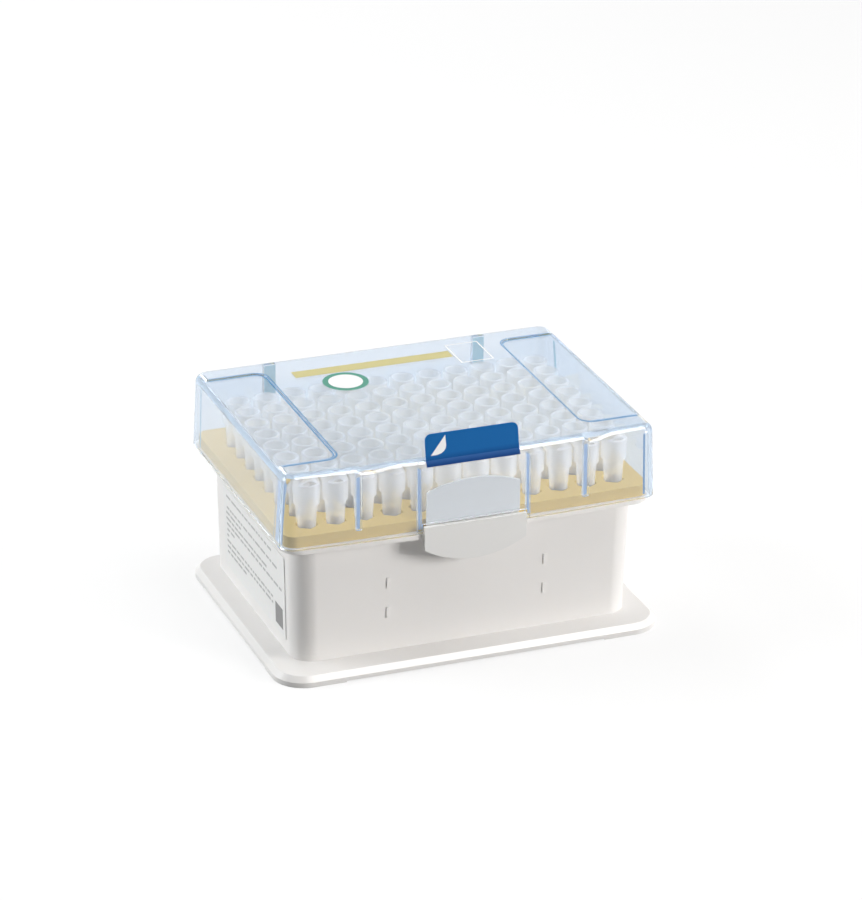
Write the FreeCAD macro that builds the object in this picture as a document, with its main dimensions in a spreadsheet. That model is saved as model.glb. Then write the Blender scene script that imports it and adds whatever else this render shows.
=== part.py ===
import FreeCAD, Part
import math
import os
import re
import Sketcher

"""Box of pipette tips: a footed box body, a tray that carries 96 tips, a clear hinged
lid with a front latch clip, a peel-off seal label and a side label.

Millimetres, +Z up, origin on the table under the middle of the tip grid, front face
towards -Y, long side along X.
"""

# Driving dimensions: alias, value, what it is.
SIZES = [
    ("tip_pitch", 9.0, "spacing of the tips, both ways"),
    ("tip_columns", 12, "tips along X"),
    ("tip_rows", 8, "tips along Y"),
    ("tip_sides", 6, "flats round a tip and its hole"),
    ("foot_end_reach", 7.9, "foot beyond the end walls"),
    ("foot_front_reach", 10.2, "foot beyond the front wall"),
    ("foot_back_reach", 4.2, "foot beyond the back wall"),
    ("foot_corner", 10.0, "plan radius of the foot's corners"),
    ("foot_height", 3.2, "top of the foot's flat border"),
    ("foot_chamfer", 1.6, "slope of the foot's upper edge"),
    ("relief_height", 0.4, "how far the border is lifted between the corner feet"),
    ("corner_foot_length", 20.2, "unlifted corner of the foot, along X"),
    ("corner_foot_depth", 16.7, "unlifted corner of the foot, along Y"),
    ("relief_width", 6.0, "how far the lifted stretch reaches in"),
    ("wall_margin", 4.8, "outer tip axes to the end and front walls at the table"),
    ("wall_back_margin", 10.8, "last row of tips to the back wall at the table"),
    ("wall_corner", 7.0, "plan radius of the box wall's corners"),
    ("wall_thickness", 1.8, "box wall"),
    ("wall_draft", 1.2, "draft of the box wall, degrees"),
    ("floor_top", 2.2, "inside floor of the box"),
    ("rim_top", 43.4, "top of the box body's rim flange"),
    ("flange_thickness", 1.9, "rim flange"),
    ("flange_inset", 1.05, "rim flange inside the lid's outer face"),
    ("flange_corner", 6.5, "plan radius of the rim flange's corners"),
    ("mark_inset", 28.9, "front wall ribs from the ends of the wall"),
    ("mark_width", 0.9, "front wall rib"),
    ("mark_height", 3.5, "front wall rib"),
    ("mark_proud", 0.35, "front wall rib beyond the wall"),
    ("mark_low", 14.3, "foot of the lower front ribs"),
    ("mark_high", 24.2, "foot of the upper front ribs"),
    ("lid_seat_gap", 0.1, "between the rim flange and the lid"),
    ("lid_height", 23.5, "lid, rim to top"),
    ("lid_end_overhang", 6.1, "lid's rim beyond the end walls at the table"),
    ("lid_front_overhang", 5.3, "lid's front corners beyond the front wall"),
    ("lid_crown", 2.1, "bulge of the lid's front face in plan"),
    ("lid_back_overhang", 5.4, "lid's back face beyond the back wall"),
    ("lid_corner", 4.8, "plan radius of the lid's corners at its rim"),
    ("lid_draft", 2.6, "draft of the lid's walls, degrees"),
    ("lid_edge", 3.0, "rounding of the lid's top edge"),
    ("lid_wall", 1.3, "lid wall"),
    ("panel_length", 21.2, "sunk end panels, from the lid's end at its rim"),
    ("panel_front_margin", 10.1, "lid's front corners to the sunk panels"),
    ("panel_back_margin", 10.0, "lid's back face to the sunk panels"),
    ("panel_corner", 4.0, "corner radius of the sunk panels"),
    ("panel_depth", 0.5, "sunk end panels"),
    ("notch_half_width", 16.8, "half of the lid's latch cut-out"),
    ("notch_height", 3.05, "lid's latch cut-out above the rim"),
    ("side_rib", 1.2, "lid ribs beside the latch cut-out"),
    ("side_rib_length", 20.5, "their height"),
    ("front_rib", 1.75, "lid's outer front ribs"),
    ("front_rib_inset", 24.0, "outer front ribs from the lid's ends"),
    ("front_rib_low", 3.6, "their lower end above the lid's rim"),
    ("front_rib_length", 18.0, "their height"),
    ("back_rib", 3.8, "lid's back ribs"),
    ("back_rib_low", 12.5, "their lower end above the lid's rim"),
    ("back_rib_length", 10.2, "their height"),
    ("rib_depth", 1.6, "lid ribs beyond the inner face"),
    ("rib_skin", 0.05, "lid wall left in front of the ribs' upper ends"),
    ("hinge_inset", 25.4, "hinges from the lid's ends"),
    ("hinge_height", 3.0, "hinge axis above the lid's rim"),
    ("hinge_setback", 1.9, "hinge axis behind the lid's back face"),
    ("hinge_radius", 1.75, "outside of knuckles and ears"),
    ("pin_radius", 0.9, "hinge pin"),
    ("pin_clearance", 0.06, "running fit of hinge pin and latch stub"),
    ("knuckle_length", 8.0, "lid knuckle along X"),
    ("knuckle_slot", 1.4, "mouth of the knuckle, which clips over its pin"),
    ("ear_thickness", 2.5, "hinge ear of the box body"),
    ("ear_gap", 0.25, "between knuckle and ear"),
    ("tray_rise", 3.6, "top of the tip tray above the rim of the box"),
    ("tray_end_inset", 2.15, "tray inside the lid's ends at its rim"),
    ("tray_front_inset", 2.45, "tray inside the lid's front corners"),
    ("tray_crown", 0.9, "bulge of the tray's front face in plan"),
    ("tray_back_inset", 3.1, "tray inside the lid's back face"),
    ("tray_corner", 3.6, "plan radius of the tray's corners"),
    ("tray_deck", 2.0, "tray deck"),
    ("tray_skirt", 1.4, "tray skirt"),
    ("tray_rib", 1.0, "ribs under the tray"),
    ("tray_rib_depth", 2.4, "tray ribs below the rim of the box"),
    ("tray_rib_gap", 0.3, "between tray ribs and box wall"),
    ("tip_rise", 13.9, "tip above the tray"),
    ("tip_length", 52.6, "whole tip"),
    ("tip_mouth", 3.95, "tip radius at its mouth"),
    ("collar_length", 7.3, "tip collar"),
    ("collar_foot", 3.6, "tip radius at the collar's lower end"),
    ("tip_point", 0.6, "tip radius at its point"),
    ("bore_mouth", 3.2, "bore radius at the mouth"),
    ("bore_point", 0.3, "bore radius at the point"),
    ("hole_clearance", 0.06, "tray hole round a tip"),
    ("flap_half_width", 16.4, "half of the latch flap"),
    ("flap_thickness", 1.2, "latch flap"),
    ("flap_proud", 0.2, "latch flap beyond the lid's front face"),
    ("flap_gap", 0.8, "between the flap and the cut-out above it"),
    ("flap_side", 7.6, "height of the flap's sides"),
    ("flap_drop", 4.7, "depth of the flap's curved lower edge"),
    ("shelf_thickness", 1.4, "shelf that joins flap and catch plate"),
    ("shelf_gap", 0.35, "shelf below the rim and off the wall"),
    ("flap_fillet", 3.4, "hollow under the shelf"),
    ("catch_half_width", 15.0, "half of the catch plate"),
    ("catch_thickness", 0.7, "catch plate"),
    ("catch_gap", 0.45, "between the catch plate and the tray"),
    ("catch_height", 12.4, "catch plate's shoulders above the rim"),
    ("catch_arch", 3.0, "rise of the catch plate's arched top"),
    ("stub_radius", 0.6, "latch pivot stub"),
    ("stub_length", 2.0, "latch pivot stub"),
    ("stub_setback", 2.2, "latch pivot in front of the box wall"),
    ("flange_gap", 0.7, "between the flap and the ends of the rim flange"),
    ("cheek_length", 2.6, "latch cheek under the end of the rim flange"),
    ("cheek_height", 1.0, "latch cheek below the flange"),
    ("cheek_half_depth", 1.6, "half of a latch cheek along Y"),
    ("seal_left", 15.5, "seal label left of the middle"),
    ("seal_right", 14.3, "seal label right of the middle"),
    ("seal_thickness", 0.25, "seal label"),
    ("seal_start", 15.0, "where the label starts on the lid's rounded edge, degrees"),
    ("seal_leave", 50.0, "where it leaves the rounded edge, degrees"),
    ("seal_lean", 11.0, "lean of the free tab, degrees"),
    ("seal_tab", 8.2, "free tab"),
    ("seal_corner", 2.0, "rounded upper corners"),
    ("glue_gap", 0.05, "label above what it sticks to"),
    ("side_label_front_margin", 8.9, "side label from the front wall"),
    ("side_label_back_margin", 12.3, "side label from the back wall"),
    ("side_label_low", 7.4, "side label's lower edge"),
    ("side_label_height", 27.2, "side label"),
    ("side_label_thickness", 0.15, "side label"),
]

# Sizes that follow from the driving ones: alias, formula, what it is.
FOLLOWING_SIZES = [
    ("tip_half_length", "(tip_columns - 1) / 2 * tip_pitch", "outer columns of tips from the origin"),
    ("tip_half_depth", "(tip_rows - 1) / 2 * tip_pitch", "outer rows of tips from the origin"),
    ("wall_half_length", "tip_half_length + wall_margin", "half of the box wall along X at the table"),
    ("wall_front", "tip_half_depth + wall_margin", "front wall from the origin at the table"),
    ("wall_back", "tip_half_depth + wall_back_margin", "back wall from the origin at the table"),
    ("foot_half_length", "wall_half_length + foot_end_reach", "half of the foot along X"),
    ("foot_front", "wall_front + foot_front_reach", "foot's front edge from the origin"),
    ("foot_back", "wall_back + foot_back_reach", "foot's back edge from the origin"),
    ("relief_half_length", "foot_half_length - corner_foot_length", "lifted stretch, front and back"),
    ("relief_front", "foot_front - corner_foot_depth", "front end of the lifted side stretches"),
    ("relief_back", "foot_back - corner_foot_depth", "back end of the lifted side stretches"),
    ("mark_spread", "wall_half_length - mark_inset", "front wall ribs from the middle"),
    ("lid_half_length", "wall_half_length + lid_end_overhang", "half of the lid along X at its rim"),
    ("lid_front", "wall_front + lid_front_overhang", "lid's front corners from the origin at its rim"),
    ("lid_back", "wall_back + lid_back_overhang", "lid's back face from the origin at its rim"),
    ("panel_inner", "lid_half_length - panel_length", "inner edge of the lid's sunk end panels"),
    ("panel_front", "lid_front - panel_front_margin", "front edge of the sunk panels"),
    ("panel_back", "lid_back - panel_back_margin", "back edge of the sunk panels"),
    ("front_rib_place", "lid_half_length - front_rib_inset", "outer front ribs from the middle"),
    ("hinge_place", "lid_half_length - hinge_inset", "hinges from the middle"),
    ("tray_top", "rim_top + tray_rise", "top of the tip tray"),
    ("tray_half_length", "lid_half_length - tray_end_inset", "half of the tray along X"),
    ("tray_front", "lid_front - tray_front_inset", "tray's front corners from the origin"),
    ("tray_back", "lid_back - tray_back_inset", "tray's back face from the origin"),
    ("side_label_front", "wall_front - side_label_front_margin", "side label's front end from the origin"),
    ("side_label_back", "wall_back - side_label_back_margin", "side label's back end from the origin"),
]
ALIASES = {alias for alias, _, _ in SIZES + FOLLOWING_SIZES}

# Places worked out from the driving dimensions.
LID_RIM = "(rim_top + lid_seat_gap)"
LID_TOP = f"({LID_RIM} + lid_height)"
HINGE_Y = "(lid_back + hinge_setback)"
HINGE_Z = f"({LID_RIM} + hinge_height)"
WALL_SPREAD = "(rim_top * tan(wall_draft * 1deg))"
LATCH_FRONT = "(lid_front + lid_crown + flap_proud)"
FLAP_TOP = f"({LID_RIM} + notch_height - flap_gap)"
SHELF_TOP = "(rim_top - shelf_gap)"
STUB_Y = f"(wall_front + {WALL_SPREAD} + stub_setback)"
STUB_Z = f"({SHELF_TOP} - shelf_thickness / 2)"
CATCH_BACK = "(tray_front + tray_crown + catch_gap)"
FLANGE_END = "(flap_half_width + flange_gap)"
TIP_TOP = "(tray_top + tip_rise)"

doc = FreeCAD.newDocument("TipBox")
sheet = doc.addObject("Spreadsheet::Sheet", "Sizes")
formulas = [(alias, f"={formula}", note) for alias, formula, note in FOLLOWING_SIZES]
for row, (alias, size, note) in enumerate(SIZES + formulas, start=1):
    sheet.set(f"A{row}", alias)
    sheet.set(f"B{row}", str(size))
    sheet.set(f"C{row}", note)
    sheet.setAlias(f"B{row}", alias)
doc.recompute()


def cell_expression(text):
    """Turn bare aliases into references to the sheet."""
    return re.sub(r"[a-z_]+", lambda word: f"Sizes.{word[0]}" if word[0] in ALIASES else word[0], text)


def size_of(text):
    """Work an expression of aliases out as a number."""
    return float(sheet.evalExpression(cell_expression(text)))


def bind(thing, **expressions):
    """Bind properties to expressions of the sheet; a double underscore stands for a dot."""
    for name, text in expressions.items():
        thing.setExpression(name.replace("__", "."), cell_expression(text))


def new_body(label):
    """Empty body for one moulding; its label is the node's name."""
    body = doc.addObject("PartDesign::Body", label)
    body.Label = label
    return body


def origin_part(body, role):
    """One of the body's own origin planes or axes."""
    return next(feature for feature in body.Origin.OriginFeatures if feature.Role == role)


def sketch_on(body, role, name, offset="0"):
    """Sketch on one of the body's own origin planes, shifted along its normal."""
    sketch = body.newObject("Sketcher::SketchObject", name)
    sketch.AttachmentSupport = [(origin_part(body, role), "")]
    sketch.MapMode = "FlatFace"
    bind(sketch, AttachmentOffset__Base__z=offset)
    return sketch


def constrain(sketch, kind, *where, name=None, text=None):
    """Add one constraint; with a name and an expression it is driven by the sheet."""
    if text is None:
        return sketch.addConstraint(Sketcher.Constraint(kind, *where))
    index = sketch.addConstraint(Sketcher.Constraint(kind, *where, size_of(text)))
    sketch.renameConstraint(index, name)
    sketch.setExpression(f"Constraints.{name}", cell_expression(text))
    return index


ORIGIN = (-1, 1)
START, END, CENTRE = range(1, 4)


def line(sketch, first, last):
    """Add a straight edge between two points of the sketch."""
    return sketch.addGeometry(Part.LineSegment(FreeCAD.Vector(*first, 0), FreeCAD.Vector(*last, 0)))


def arc(sketch, centre, radius, first, last):
    """Add an arc from one angle to another, anticlockwise, in radians."""
    circle = Part.Circle(FreeCAD.Vector(*centre, 0), FreeCAD.Vector(0, 0, 1), radius)
    return sketch.addGeometry(Part.ArcOfCircle(circle, first, last))


def rectangle(sketch, left, right, low, high):
    """Rectangle from four expressions, each measured from the sketch's origin."""
    x0, x1, y0, y1 = (size_of(text) for text in (left, right, low, high))
    corners = [(x0, y0), (x1, y0), (x1, y1), (x0, y1)]
    edges = [line(sketch, corners[i], corners[(i + 1) % 4]) for i in range(4)]
    for i in range(4):
        constrain(sketch, "Coincident", edges[i], END, edges[(i + 1) % 4], START)
        constrain(sketch, "Horizontal" if i % 2 == 0 else "Vertical", edges[i])
    tag = f"edge{edges[0]}"
    constrain(sketch, "DistanceX", *ORIGIN, edges[0], START, name=f"{tag}_left", text=left)
    constrain(sketch, "DistanceX", *ORIGIN, edges[1], START, name=f"{tag}_right", text=right)
    constrain(sketch, "DistanceY", *ORIGIN, edges[0], START, name=f"{tag}_low", text=low)
    constrain(sketch, "DistanceY", *ORIGIN, edges[2], START, name=f"{tag}_high", text=high)


def rounded_plan(sketch, half_length, front, back, corner, crown=None):
    """Rounded rectangle in plan; a crown bulges the front edge into a wide arc.

    front is the place of the front corners, and the crown's middle stands that much further out.
    """
    half, y_front, y_back, radius = (size_of(text) for text in (half_length, front, back, corner))
    quarter = math.pi / 2
    inner = half - radius
    if crown is None:
        front_centre_y = -y_front + radius
        lean = 0.0
        front_edge = line(sketch, (-inner, -y_front), (inner, -y_front))
    else:
        wide = f"(({half_length})^2 + ({crown})^2) / (2 * {crown})"
        wide_radius = size_of(wide)
        wide_centre_y = -y_front - size_of(crown) + wide_radius
        lean = math.asin(inner / (wide_radius - radius))
        front_centre_y = wide_centre_y - (wide_radius - radius) * math.cos(lean)
        front_edge = arc(sketch, (0, wide_centre_y), wide_radius, -quarter - lean, -quarter + lean)
    right_edge = line(sketch, (half, front_centre_y), (half, y_back - radius))
    back_edge = line(sketch, (inner, y_back), (-inner, y_back))
    left_edge = line(sketch, (-half, y_back - radius), (-half, front_centre_y))
    corners = [
        arc(sketch, (inner, front_centre_y), radius, -quarter + lean, 0),
        arc(sketch, (inner, y_back - radius), radius, 0, quarter),
        arc(sketch, (-inner, y_back - radius), radius, quarter, 2 * quarter),
        arc(sketch, (-inner, front_centre_y), radius, 2 * quarter, 3 * quarter - lean),
    ]
    edges = [front_edge, right_edge, back_edge, left_edge]
    for i, bend in enumerate(corners):
        constrain(sketch, "Tangent", edges[i], END, bend, START)
        constrain(sketch, "Tangent", bend, END, edges[(i + 1) % 4], START)
    for bend in corners[1:]:
        constrain(sketch, "Equal", corners[0], bend)
    constrain(sketch, "Radius", corners[0], name="corner", text=corner)
    constrain(sketch, "Vertical", right_edge)
    constrain(sketch, "Vertical", left_edge)
    constrain(sketch, "Horizontal", back_edge)
    constrain(sketch, "DistanceX", *ORIGIN, right_edge, START, name="right", text=half_length)
    constrain(sketch, "DistanceX", left_edge, START, *ORIGIN, name="left", text=half_length)
    constrain(sketch, "DistanceY", *ORIGIN, back_edge, START, name="back", text=back)
    if crown is None:
        constrain(sketch, "Horizontal", front_edge)
        constrain(sketch, "DistanceY", front_edge, START, *ORIGIN, name="front", text=front)
    else:
        constrain(sketch, "PointOnObject", front_edge, CENTRE, -2)
        constrain(sketch, "Radius", front_edge, name="crown", text=wide)
        constrain(sketch, "DistanceY", *ORIGIN, front_edge, CENTRE, name="front",
                  text=f"{wide} - ({front}) - ({crown})")


def extrude(body, kind, name, sketch, length, both_ways=False, reverse=False):
    """Pad or Pocket of one sketch."""
    feature = body.newObject(f"PartDesign::{kind}", name)
    feature.Profile = sketch
    feature.Midplane = both_ways
    feature.Reversed = reverse
    bind(feature, Length=length)
    doc.recompute()
    return feature


def faces_where(shape, test):
    """Names of the faces that pass a test."""
    return [f"Face{i}" for i, face in enumerate(shape.Faces, start=1) if test(face)]


def edges_where(shape, test):
    """Names of the edges that pass a test."""
    return [f"Edge{i}" for i, edge in enumerate(shape.Edges, start=1) if test(edge)]


NEAR = 0.01


def at_height(thing, height):
    """True for a level edge or face at that height."""
    box = thing.BoundBox
    return abs(box.ZMin - height) < NEAR and abs(box.ZMax - height) < NEAR


def upright(face):
    """True for the faces that an extrusion raised, flat or round."""
    low, high, left, right = face.ParameterRange
    normal = face.normalAt((low + high) / 2, (left + right) / 2)
    return abs(normal.z) < NEAR


def draft(body, name, base, faces, angle, neutral, reverse=False):
    """Lean the faces about a neutral plane, in which they keep their size."""
    feature = body.newObject("PartDesign::Draft", name)
    feature.Base = (base, faces)
    feature.NeutralPlane = neutral
    feature.Reversed = reverse
    bind(feature, Angle=angle)
    doc.recompute()
    return feature


def fillet(body, name, base, edges, radius):
    """Round some edges of the feature before."""
    feature = body.newObject("PartDesign::Fillet", name)
    feature.Base = (base, edges)
    bind(feature, Radius=radius)
    doc.recompute()
    return feature


def leaning_edges(shape, low, high):
    """Edges that rise from one height to another."""
    return edges_where(shape, lambda edge: abs(edge.BoundBox.ZMin - low) < NEAR
                       and abs(edge.BoundBox.ZMax - high) < NEAR)


def mirrored(body, name, originals):
    """Repeat features on the other side of the body's YZ plane."""
    feature = body.newObject("PartDesign::Mirrored", name)
    feature.Originals = originals
    feature.MirrorPlane = (origin_part(body, "YZ_Plane"), [""])
    body.Tip = feature
    doc.recompute()
    return feature


def circle(sketch, x, y, radius):
    """Circle from expressions of its centre, measured from the sketch's origin, and its radius."""
    place = FreeCAD.Vector(size_of(x), size_of(y), 0)
    ring = sketch.addGeometry(Part.Circle(place, FreeCAD.Vector(0, 0, 1), size_of(radius)))
    constrain(sketch, "DistanceX", *ORIGIN, ring, CENTRE, name="centre_x", text=x)
    constrain(sketch, "DistanceY", *ORIGIN, ring, CENTRE, name="centre_y", text=y)
    constrain(sketch, "Radius", ring, name="radius", text=radius)
    return ring


def arched_outline(sketch, half_width, base, shoulder, arch, upwards):
    """Rectangle whose far edge bulges: base and shoulder are heights, arch the bulge beyond."""
    half, z_base, z_shoulder, rise = (size_of(text) for text in (half_width, base, shoulder, arch))
    bend = f"(({half_width})^2 + ({arch})^2) / (2 * {arch})"
    radius = size_of(bend)
    reach = math.asin(half / radius)
    way = 1 if upwards else -1
    centre_z = z_shoulder + way * (rise - radius)
    middle = way * math.pi / 2
    left_x, right_x = -half, half
    base_edge = line(sketch, (left_x, z_base), (right_x, z_base))
    right_edge = line(sketch, (right_x, z_base), (right_x, z_shoulder))
    left_edge = line(sketch, (left_x, z_shoulder), (left_x, z_base))
    top_edge = arc(sketch, (0, centre_z), radius, middle - reach, middle + reach)
    right_end, left_end = (START, END) if upwards else (END, START)
    constrain(sketch, "Coincident", base_edge, END, right_edge, START)
    constrain(sketch, "Coincident", right_edge, END, top_edge, right_end)
    constrain(sketch, "Coincident", top_edge, left_end, left_edge, START)
    constrain(sketch, "Coincident", left_edge, END, base_edge, START)
    constrain(sketch, "Horizontal", base_edge)
    constrain(sketch, "Vertical", right_edge)
    constrain(sketch, "Vertical", left_edge)
    constrain(sketch, "PointOnObject", top_edge, CENTRE, -2)
    constrain(sketch, "Radius", top_edge, name="arch", text=bend)
    constrain(sketch, "DistanceX", *ORIGIN, right_edge, START, name="half_width", text=half_width)
    constrain(sketch, "DistanceY", *ORIGIN, base_edge, START, name="base", text=base)
    constrain(sketch, "DistanceY", *ORIGIN, right_edge, END, name="shoulder", text=shoulder)


def polygon(sketch, x, y, radius, sides):
    """Regular polygon with a flat on its left, from expressions of its centre and circumradius."""
    guide = circle(sketch, x, y, radius)
    sketch.setConstruction(guide, True)
    x0, y0, r0 = size_of(x), size_of(y), size_of(radius)
    turns = [math.pi + (2 * i - 1) * math.pi / sides for i in range(sides)]
    points = [(x0 + r0 * math.cos(turn), y0 + r0 * math.sin(turn)) for turn in turns]
    edges = [line(sketch, points[i], points[(i + 1) % sides]) for i in range(sides)]
    for i in range(sides):
        constrain(sketch, "Coincident", edges[i], END, edges[(i + 1) % sides], START)
        constrain(sketch, "PointOnObject", edges[i], START, guide)
    for edge in edges[1:]:
        constrain(sketch, "Equal", edges[0], edge)
    constrain(sketch, "Vertical", edges[0])


def lid_face(x):
    """Distance of the lid's crowned front face from the origin, at its rim and at one x."""
    return f"(lid_front + lid_crown * (1 - ({x} / lid_half_length)^2))"


def lid_lean(height):
    """How far the lid's wall has leaned in at a height above its rim."""
    return f"(({height}) * tan(lid_draft * 1deg))"


def flared(height):
    """How far the box wall has flared out at a height above the table."""
    return f"(({height}) * tan(wall_draft * 1deg))"


FACET_SPREAD = "sqrt((pi / tip_sides) / (sin(pi / tip_sides * 1rad) * cos(pi / tip_sides * 1rad)))"


def build_box_body():
    """Lower box: footed, drafted and open at the top, with rim flange, hinge ears and cheeks."""
    body = new_body("box_body")
    plan = sketch_on(body, "XY_Plane", "FootPlan")
    rounded_plan(plan, "foot_half_length", "foot_front", "foot_back", "foot_corner")
    foot = extrude(body, "Pad", "Foot", plan, "foot_height")
    foot_edges = edges_where(foot.Shape, lambda edge: at_height(edge, size_of("foot_height")))
    slope = body.newObject("PartDesign::Chamfer", "FootSlope")
    slope.Base = (foot, foot_edges)
    bind(slope, Size="foot_chamfer")
    doc.recompute()

    plan = sketch_on(body, "XY_Plane", "WallPlan")
    rectangle(plan, "-wall_half_length", "wall_half_length", "-wall_front", "wall_back")
    wall = extrude(body, "Pad", "Wall", plan, "rim_top")
    rim = size_of("rim_top")
    outside = faces_where(wall.Shape, lambda face: upright(face) and abs(face.BoundBox.ZMax - rim) < NEAR)
    base_plane = (origin_part(body, "XY_Plane"), [""])
    draft(body, "WallDraft", wall, outside, "wall_draft", base_plane, reverse=True)

    plan = sketch_on(body, "XY_Plane", "FlangePlan", "rim_top - flange_thickness")
    rounded_plan(plan, "lid_half_length - flange_inset", "lid_front - flange_inset",
                 "lid_back - flange_inset", "flange_corner", "lid_crown")
    extrude(body, "Pad", "RimFlange", plan, "flange_thickness")

    plan = sketch_on(body, "XY_Plane", "WellPlan", "rim_top")
    rectangle(plan, "wall_thickness - wall_half_length", "wall_half_length - wall_thickness",
              "wall_thickness - wall_front", "wall_back - wall_thickness")
    well = extrude(body, "Pocket", "Well", plan, "rim_top - floor_top")
    deep = size_of("floor_top")
    inside = faces_where(well.Shape, lambda face: upright(face) and abs(face.BoundBox.ZMin - deep) < NEAR)
    hollow = draft(body, "WellDraft", well, inside, "wall_draft", base_plane)
    outer = leaning_edges(hollow.Shape, size_of("foot_height"), size_of("rim_top - flange_thickness"))
    rounded = fillet(body, "WallCorners", hollow, outer, "wall_corner")
    inner = leaning_edges(rounded.Shape, deep, rim)
    fillet(body, "WellCorners", rounded, inner, "wall_corner - wall_thickness")

    relief = sketch_on(body, "XY_Plane", "ReliefPlan")
    rectangle(relief, "-relief_half_length", "relief_half_length",
              "-(foot_front + relief_width)", "-(foot_front - relief_width)")
    rectangle(relief, "-relief_half_length", "relief_half_length",
              "foot_back - relief_width", "foot_back + relief_width")
    rectangle(relief, "-(foot_half_length + relief_width)", "-(foot_half_length - relief_width)",
              "-relief_front", "relief_back")
    rectangle(relief, "foot_half_length - relief_width", "foot_half_length + relief_width",
              "-relief_front", "relief_back")
    extrude(body, "Pocket", "FootRelief", relief, "relief_height", reverse=True)

    for level in ("low", "high"):
        foot_z = f"mark_{level}"
        inner = "(wall_front - wall_thickness / 2)"
        marks = sketch_on(body, "XZ_Plane", f"MarkPlan_{level}", inner)
        for way in ("-", ""):
            middle = f"{way}mark_spread"
            rectangle(marks, f"{middle} - mark_width / 2", f"{middle} + mark_width / 2",
                      foot_z, f"{foot_z} + mark_height")
        extrude(body, "Pad", f"Marks_{level}", marks,
                f"wall_thickness / 2 + {flared(foot_z)} + mark_proud")

    gap = sketch_on(body, "XY_Plane", "LatchGapPlan", "rim_top")
    rectangle(gap, f"-{FLANGE_END}", FLANGE_END, "-(lid_front + 2 * lid_crown)", f"-(wall_front + {WALL_SPREAD})")
    extrude(body, "Pocket", "LatchGap", gap, "flange_thickness")
    cheeks = sketch_on(body, "XY_Plane", "CheekPlan", "rim_top - flange_thickness - cheek_height")
    for left, right in ((FLANGE_END, f"{FLANGE_END} + cheek_length"),
                        (f"-({FLANGE_END} + cheek_length)", f"-{FLANGE_END}")):
        rectangle(cheeks, left, right, f"-({STUB_Y} + cheek_half_depth)", f"-({STUB_Y} - cheek_half_depth)")
    extrude(body, "Pad", "Cheeks", cheeks, "cheek_height")
    sockets = sketch_on(body, "YZ_Plane", "StubSocketPlan")
    circle(sockets, f"-{STUB_Y}", STUB_Z, "stub_radius + pin_clearance")
    extrude(body, "Pocket", "StubSockets", sockets,
            "2 * (flap_half_width + stub_length + ear_gap)", both_ways=True)

    ears = []
    knuckle_half = "(knuckle_length / 2 + ear_gap)"
    for name, start in (("Inner", f"hinge_place - {knuckle_half} - ear_thickness"),
                        ("Outer", f"hinge_place + {knuckle_half}")):
        plan = sketch_on(body, "YZ_Plane", f"EarPlan{name}", start)
        ear_profile(plan)
        ears.append(extrude(body, "Pad", f"Ear{name}", plan, "ear_thickness"))
    pin = sketch_on(body, "YZ_Plane", "PinPlan", f"hinge_place - {knuckle_half} - ear_thickness / 2")
    circle(pin, HINGE_Y, HINGE_Z, "pin_radius")
    ears.append(extrude(body, "Pad", "Pin", pin, f"2 * {knuckle_half} + ear_thickness"))
    mirrored(body, "HingesBothSides", ears)
    return body


def ear_profile(sketch):
    """Side view of a hinge ear: an arm out of the rim flange, turned up to a round top."""
    root = "lid_back - flange_inset - wall_thickness"
    y_root, y_axis, radius = size_of(root), size_of(HINGE_Y), size_of("hinge_radius")
    z_low, z_rim, z_axis = size_of("rim_top - flange_thickness"), size_of("rim_top"), size_of(HINGE_Z)
    points = [(y_root, z_rim), (y_root, z_low), (y_axis + radius, z_low), (y_axis + radius, z_axis)]
    run = [line(sketch, points[i], points[i + 1]) for i in range(3)]
    top = arc(sketch, (y_axis, z_axis), radius, 0, math.pi)
    front = line(sketch, (y_axis - radius, z_axis), (y_axis - radius, z_rim))
    shelf = line(sketch, (y_axis - radius, z_rim), (y_root, z_rim))
    for first, second in ((run[0], run[1]), (run[1], run[2]), (front, shelf), (shelf, run[0])):
        constrain(sketch, "Coincident", first, END, second, START)
    constrain(sketch, "Tangent", run[2], END, top, START)
    constrain(sketch, "Tangent", top, END, front, START)
    for edge in (run[0], run[2]):
        constrain(sketch, "Vertical", edge)
    for edge in (run[1], shelf):
        constrain(sketch, "Horizontal", edge)
    constrain(sketch, "Radius", top, name="radius", text="hinge_radius")
    constrain(sketch, "DistanceX", *ORIGIN, top, CENTRE, name="axis_y", text=HINGE_Y)
    constrain(sketch, "DistanceY", *ORIGIN, top, CENTRE, name="axis_z", text=HINGE_Z)
    constrain(sketch, "DistanceX", *ORIGIN, run[0], START, name="root", text=root)
    constrain(sketch, "DistanceY", *ORIGIN, run[0], START, name="rim", text="rim_top")
    constrain(sketch, "DistanceY", *ORIGIN, run[1], START, name="low", text="rim_top - flange_thickness")


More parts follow.
